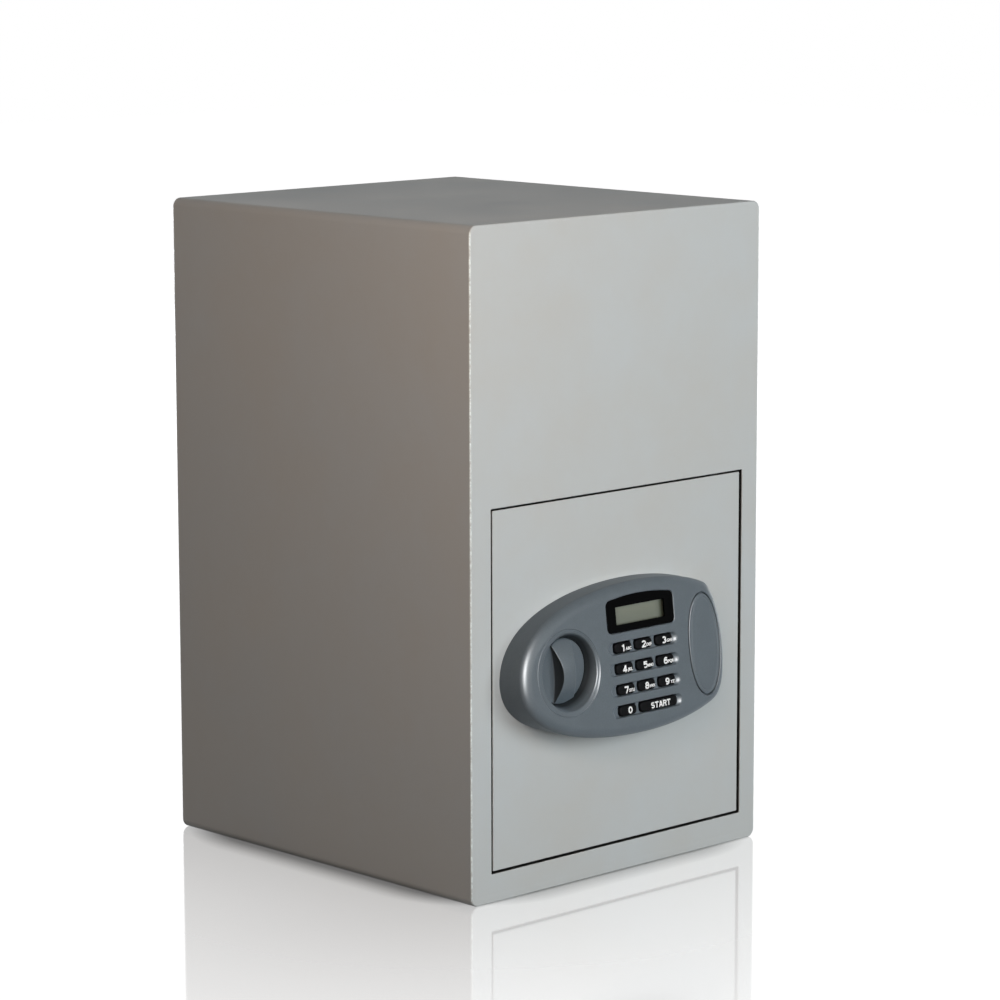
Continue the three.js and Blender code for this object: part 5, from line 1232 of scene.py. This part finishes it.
class OBJECT_OT_safe_keys(bpy.types.Operator):
    """Build the keys with crowned tops and their printed legends"""
    bl_idname = "object.safe_keys"
    bl_label = "Keys"

    def execute(self, context):
        height = context.scene.safe_sizes.digit_height / MM
        for name, u, v, half in key_list():
            rings = []
            for grow, w in ((0.9, -5.3), (0.9, -4.3), (0, -4.3), (0, KEY_TOP - 1.1)):
                outline = rounded_box(u, v, half + grow, KEY_HALF_Z + grow, KEY_CORNER + grow)
                rings.append(face_ring(outline, w))
            for drawn in (0.03, 0.12, 0.25, 0.42, 0.65, 0.9, 1.2, 1.7, 2.3, 2.9):
                outline = rounded_box(u, v, half - drawn, KEY_HALF_Z - drawn, KEY_CORNER - drawn * 0.88)
                rings.append(face_ring(outline, crown(half - drawn, 0, half)))
            piece(name + "_cap", loft(rings), "keys", name, [name], sharp=60)
            self.legend(name, u, v, half, height)
        return {"FINISHED"}

    def legend(self, name, u, v, half, height):
        """The print of a key, just proud of its crown: bold figures and, beside them, small letters"""
        shape = bmesh.new()

        def printed(x, y, layer):
            lift = crown(x, y, half) + 0.035 + 0.004 * layer
            return shape.verts.new(Vector(on_face(u + x, v + y, lift)) * MM)

        if name == "key_start":
            bold = [(letter, 1.42 + (i - 2) * 3.5, -0.3, 0.88) for i, letter in enumerate("START")]
        elif name == "key_0":
            bold = [("0", 1.6, -0.15, 1.0)]
        else:
            bold = [(name[-1], -0.1, -0.3, 1.0)]
        for letter, across, up, size in bold:
            size *= height / GLYPH_HEIGHT
            for layer, path in enumerate(GLYPHS[letter]):
                pairs, closed = pen_stroke(path)
                rows = [[printed(across + x * size, up + y * size, layer) for x, y in pair]
                        for pair in pairs]
                for low, high in zip(rows, rows[1:] + (rows[:1] if closed else [])):
                    shape.faces.new((low[0], high[0], high[1], low[1]))
        if name in LEGENDS:
            outline, faces = self.letters(LEGENDS[name], height * 0.44, 5.1)
            for layer, weight in enumerate((-0.09, 0.09)):
                points = [printed(4.45 + weight + x, y - 1.1, layer) for x, y in outline]
                for face in ([points[i] for i in corners] for corners in faces):
                    if not shape.faces.get(face):
                        shape.faces.new(face)
        piece(name + "_legend", shape, "print", name, sharp=50)

    def letters(self, text, size, widest):
        """Flat triangles of a word, condensed to a width and finely cut to follow a crowned top"""
        curve = bpy.data.curves.new("letters", "FONT")
        curve.body = text
        curve.align_x = "CENTER"
        curve.align_y = "CENTER"
        curve.offset = 0.03
        curve.resolution_u = 6
        curve.space_character = 1.08
        made = added("letters", curve)
        flat = evaluated(made)
        bpy.data.objects.remove(made)
        bpy.data.curves.remove(curve)
        bmesh.ops.remove_doubles(flat, verts=flat.verts, dist=0.002)
        bmesh.ops.triangulate(flat, faces=flat.faces)
        scale = size / CAPITAL_HEIGHT
        for _ in range(2):
            long_edges = [edge for edge in flat.edges if edge.calc_length() * scale > 0.8]
            bmesh.ops.subdivide_edges(flat, edges=long_edges, cuts=1)
            bmesh.ops.triangulate(flat, faces=flat.faces)
        flat.verts.index_update()
        reach = [vert.co.x * scale for vert in flat.verts]
        condense = min(1, widest / (max(reach) - min(reach)))
        outline = [(vert.co.x * scale * condense, vert.co.y * scale) for vert in flat.verts]
        faces = [[vert.index for vert in face.verts] for face in flat.faces]
        flat.free()
        return outline, faces


class OBJECT_OT_safe_batteries(bpy.types.Operator):
    """Finish the battery box, its cells, its lid and the reset button"""
    bl_idname = "object.safe_batteries"
    bl_label = "Batteries"

    def execute(self, context):
        dress("grey_plastic", 0.0003, "battery_box", "battery_lid")
        dress("red_plastic", 0.0003, "reset_button")
        dress("cells", 0.0002, *[f"battery_{i}" for i in range(1, 5)])
        return {"FINISHED"}


# Stage, in metres. A lamp has a place, a size, a colour and the height on the safe's axis that it faces.
# Corner radius of the footprint round which the floor's painted contact shadow and its mirror fade
SHADOW_CORNER = 0.06
LAMPS = {
    "key": ((0.32, -1.88, 0.46), (1.6, 1.2), (0.95, 1.0, 1.02), 0.19),
    "fill": ((-0.74, -0.68, 0.64), (0.3, 0.4), (1.0, 0.75, 0.60), 1.2),
    "strip": ((-1.05, -1.2, 0.6), (0.09, 0.5), (1.0, 0.95, 0.91), 1.0),
    "glint": ((-1.25, -1.35, 0.78), (0.34, 1.2), (0.97, 0.99, 1.0), 0.19),
    "rear": ((0.9, 2.8, 0.36), (1.5, 0.6), (0.91, 1.0, 1.08), 0.19),
    "side": ((2.4, 0.6, 0.35), (1.2, 0.7), (1.0, 0.99, 0.97), 0.19),
    "low": ((0.2, 1.9, 0.2), (1.2, 0.3), (1.0, 0.97, 0.93), 0.19),
}
CAMERA_PLACE = (-1.6188, -1.7259, 0.6097)
CAMERA_YAW, CAMERA_PITCH, CAMERA_ROLL = 0.7627043, -0.1642278, -0.0018713
CAMERA_LENS = 135.125


def footprint_distance(tree):
    """How far a point of the floor lies from the safe's footprint with well rounded corners"""
    place = axes(tree)
    parts = []
    for axis, half in (("X", SHEET_HALF_X), ("Y", SHEET_HALF_Y)):
        away = maths("SUBTRACT", size_of(place[axis]), half * MM - SHADOW_CORNER)
        parts.append(maths("POWER", greater(away, 0.0), 2.0))
    return maths("SUBTRACT", maths("SQRT", maths("ADD", *parts)), SHADOW_CORNER)


def background_rays(tree):
    """1 for the rays that see the white background: from the camera, in reflections and through glass"""
    path = node(tree, "LightPath").outputs
    bounced = greater(path["Is Glossy Ray"], path["Is Transmission Ray"])
    return greater(path["Is Camera Ray"], bounced)


def make_floor_material():
    """Pale floor: it keeps the shadow, shows as white with a painted contact shadow close round the
    footprint, and mirrors what stands on it close by
    """
    made = bpy.data.materials.new("pale_floor")
    made.use_nodes = True
    tree = made.node_tree
    tree.nodes.clear()
    seen = background_rays(tree)
    away = footprint_distance(tree)
    tone = clouds(tree, 3.0, Detail=3.0)
    colour = colour_mix(tone, (0.20, 0.20, 0.20), (0.23, 0.23, 0.23))
    colour = colour_mix(seen, (0.12, 0.12, 0.12), colour)
    matte = node(tree, "BsdfDiffuse", {"Color": colour}).outputs[0]
    # Painted contact shadow: the glow that makes the floor white is dimmed within 2 cm of the footprint,
    # and a little out to 20 cm
    glow_with_painted_contact_shadow = maths("ADD", spread(away, 0.3, 0.97, 0.0, 0.02), spread(away, 0.0, 0.03, 0.02, 0.2))
    glow = node(tree, "Emission", {"Color": WHITE, "Strength": times(seen, glow_with_painted_contact_shadow)}).outputs[0]
    base = node(tree, "AddShader", {0: matte, 1: glow}).outputs[0]
    mirror = node(tree, "BsdfGlossy", {"Color": WHITE, "Roughness": 0.05}).outputs[0]
    first = node(tree, "LightPath").outputs["Is Camera Ray"]
    fade = times(spread(away, 0.54, 0.0, 0.0, 0.56), first)
    mixed = node(tree, "MixShader", {0: fade, 1: base, 2: mirror}).outputs[0]
    node(tree, "OutputMaterial", {"Surface": mixed})
    return made


class OBJECT_OT_safe_stage(bpy.types.Operator):
    """Set up the pale floor, the soft lights, the surroundings and the camera"""
    bl_idname = "object.safe_stage"
    bl_label = "Stage"

    def execute(self, context):
        scene = context.scene
        ground = bmesh.new()
        bmesh.ops.create_grid(ground, x_segments=4, y_segments=4, size=scene.safe_stage.floor_size / 2)
        mesh = mesh_of("floor", ground)
        mesh.materials.append(make_floor_material())
        floor = added("floor", mesh)
        lamps = {name: self.lamp(scene.safe_stage, name, *LAMPS[name]) for name in LAMPS}
        lamps["fill"].visible_glossy = False
        lamps["glint"].visible_diffuse = False
        lacquered = bpy.data.collections.new("lacquered_pieces")
        for label in ("housing_moulding", "cover_moulding", "turning_knob"):
            lacquered.objects.link(bpy.data.objects[label])
        lamps["glint"].light_linking.receiver_collection = lacquered
        scene.world = self.surroundings(scene.safe_stage.surround)
        scene.camera = self.camera()
        scene.view_settings.view_transform = "Standard"
        return {"FINISHED"}

    def lamp(self, stage, name, place, size, colour, height):
        light = bpy.data.lights.new(name + "_light", "AREA")
        light.shape = "RECTANGLE"
        light.size, light.size_y = size
        light.energy = getattr(stage, name + "_power")
        light.color = colour
        made = added(name + "_light", light)
        made.visible_camera = False
        ahead = Vector((0, 0, height)) - Vector(place)
        made.matrix_world = Matrix.Translation(place) @ ahead.to_track_quat("-Z", "Y").to_matrix().to_4x4()
        return made

    def surroundings(self, strength):
        """White to the eye; as a light, dim and warmer from the left"""
        world = bpy.data.worlds.new("surroundings")
        world.use_nodes = True
        tree = world.node_tree
        tree.nodes.clear()
        leftward = fall(axes(tree, "Generated")["X"], -0.9, -0.2)
        tone = colour_mix(leftward, (0.92, 0.97, 1.0), (1.0, 0.74, 0.60))
        light = node(tree, "Background", {"Color": tone, "Strength": strength}).outputs[0]
        white = node(tree, "Background", {"Color": WHITE, "Strength": 1.0}).outputs[0]
        mixed = node(tree, "MixShader", {0: background_rays(tree), 1: light, 2: white}).outputs[0]
        node(tree, "OutputWorld", {"Surface": mixed})
        return world

    def camera(self):
        data = bpy.data.cameras.new("camera")
        data.lens = CAMERA_LENS
        data.sensor_width = 36
        data.clip_start = 0.05
        made = added("camera", data)
        made.matrix_world = Matrix.Translation(CAMERA_PLACE)
        for angle, axis in ((-CAMERA_YAW, "Z"), (math.pi / 2 + CAMERA_PITCH, "X"), (CAMERA_ROLL, "Z")):
            made.matrix_world = made.matrix_world @ Matrix.Rotation(angle, 4, axis)
        return made


class VIEW3D_PT_safe(bpy.types.Panel):
    """Lists the safe's settings and the steps that build it"""
    bl_label = "Deposit Safe"
    bl_idname = "VIEW3D_PT_safe"
    bl_space_type = "VIEW_3D"
    bl_region_type = "UI"
    bl_category = "Safe"

    def draw(self, context):
        for settings in (context.scene.safe_finish, context.scene.safe_sizes, context.scene.safe_stage):
            box = self.layout.box()
            for label in settings.__annotations__:
                box.prop(settings, label)
        for operator in OPERATORS:
            self.layout.operator(operator.bl_idname)


OPERATORS = (
    OBJECT_OT_safe_body, OBJECT_OT_safe_door, OBJECT_OT_safe_bolt_work, OBJECT_OT_safe_hopper,
    OBJECT_OT_safe_lock_housing, OBJECT_OT_safe_knob, OBJECT_OT_safe_keys, OBJECT_OT_safe_batteries,
    OBJECT_OT_safe_stage,
)
CLASSES = (SafeFinish, SafeSizes, SafeStage, *OPERATORS, VIEW3D_PT_safe)


def register():
    for cls in CLASSES:
        bpy.utils.register_class(cls)
    bpy.types.Scene.safe_finish = bpy.props.PointerProperty(type=SafeFinish)
    bpy.types.Scene.safe_sizes = bpy.props.PointerProperty(type=SafeSizes)
    bpy.types.Scene.safe_stage = bpy.props.PointerProperty(type=SafeStage)


def unregister():
    del bpy.types.Scene.safe_stage
    del bpy.types.Scene.safe_sizes
    del bpy.types.Scene.safe_finish
    for cls in reversed(CLASSES):
        bpy.utils.unregister_class(cls)


def main():
    register()
    for operator in OPERATORS:
        area, label = operator.bl_idname.split(".")
        getattr(getattr(bpy.ops, area), label)()


if __name__ == "__main__":
    main()
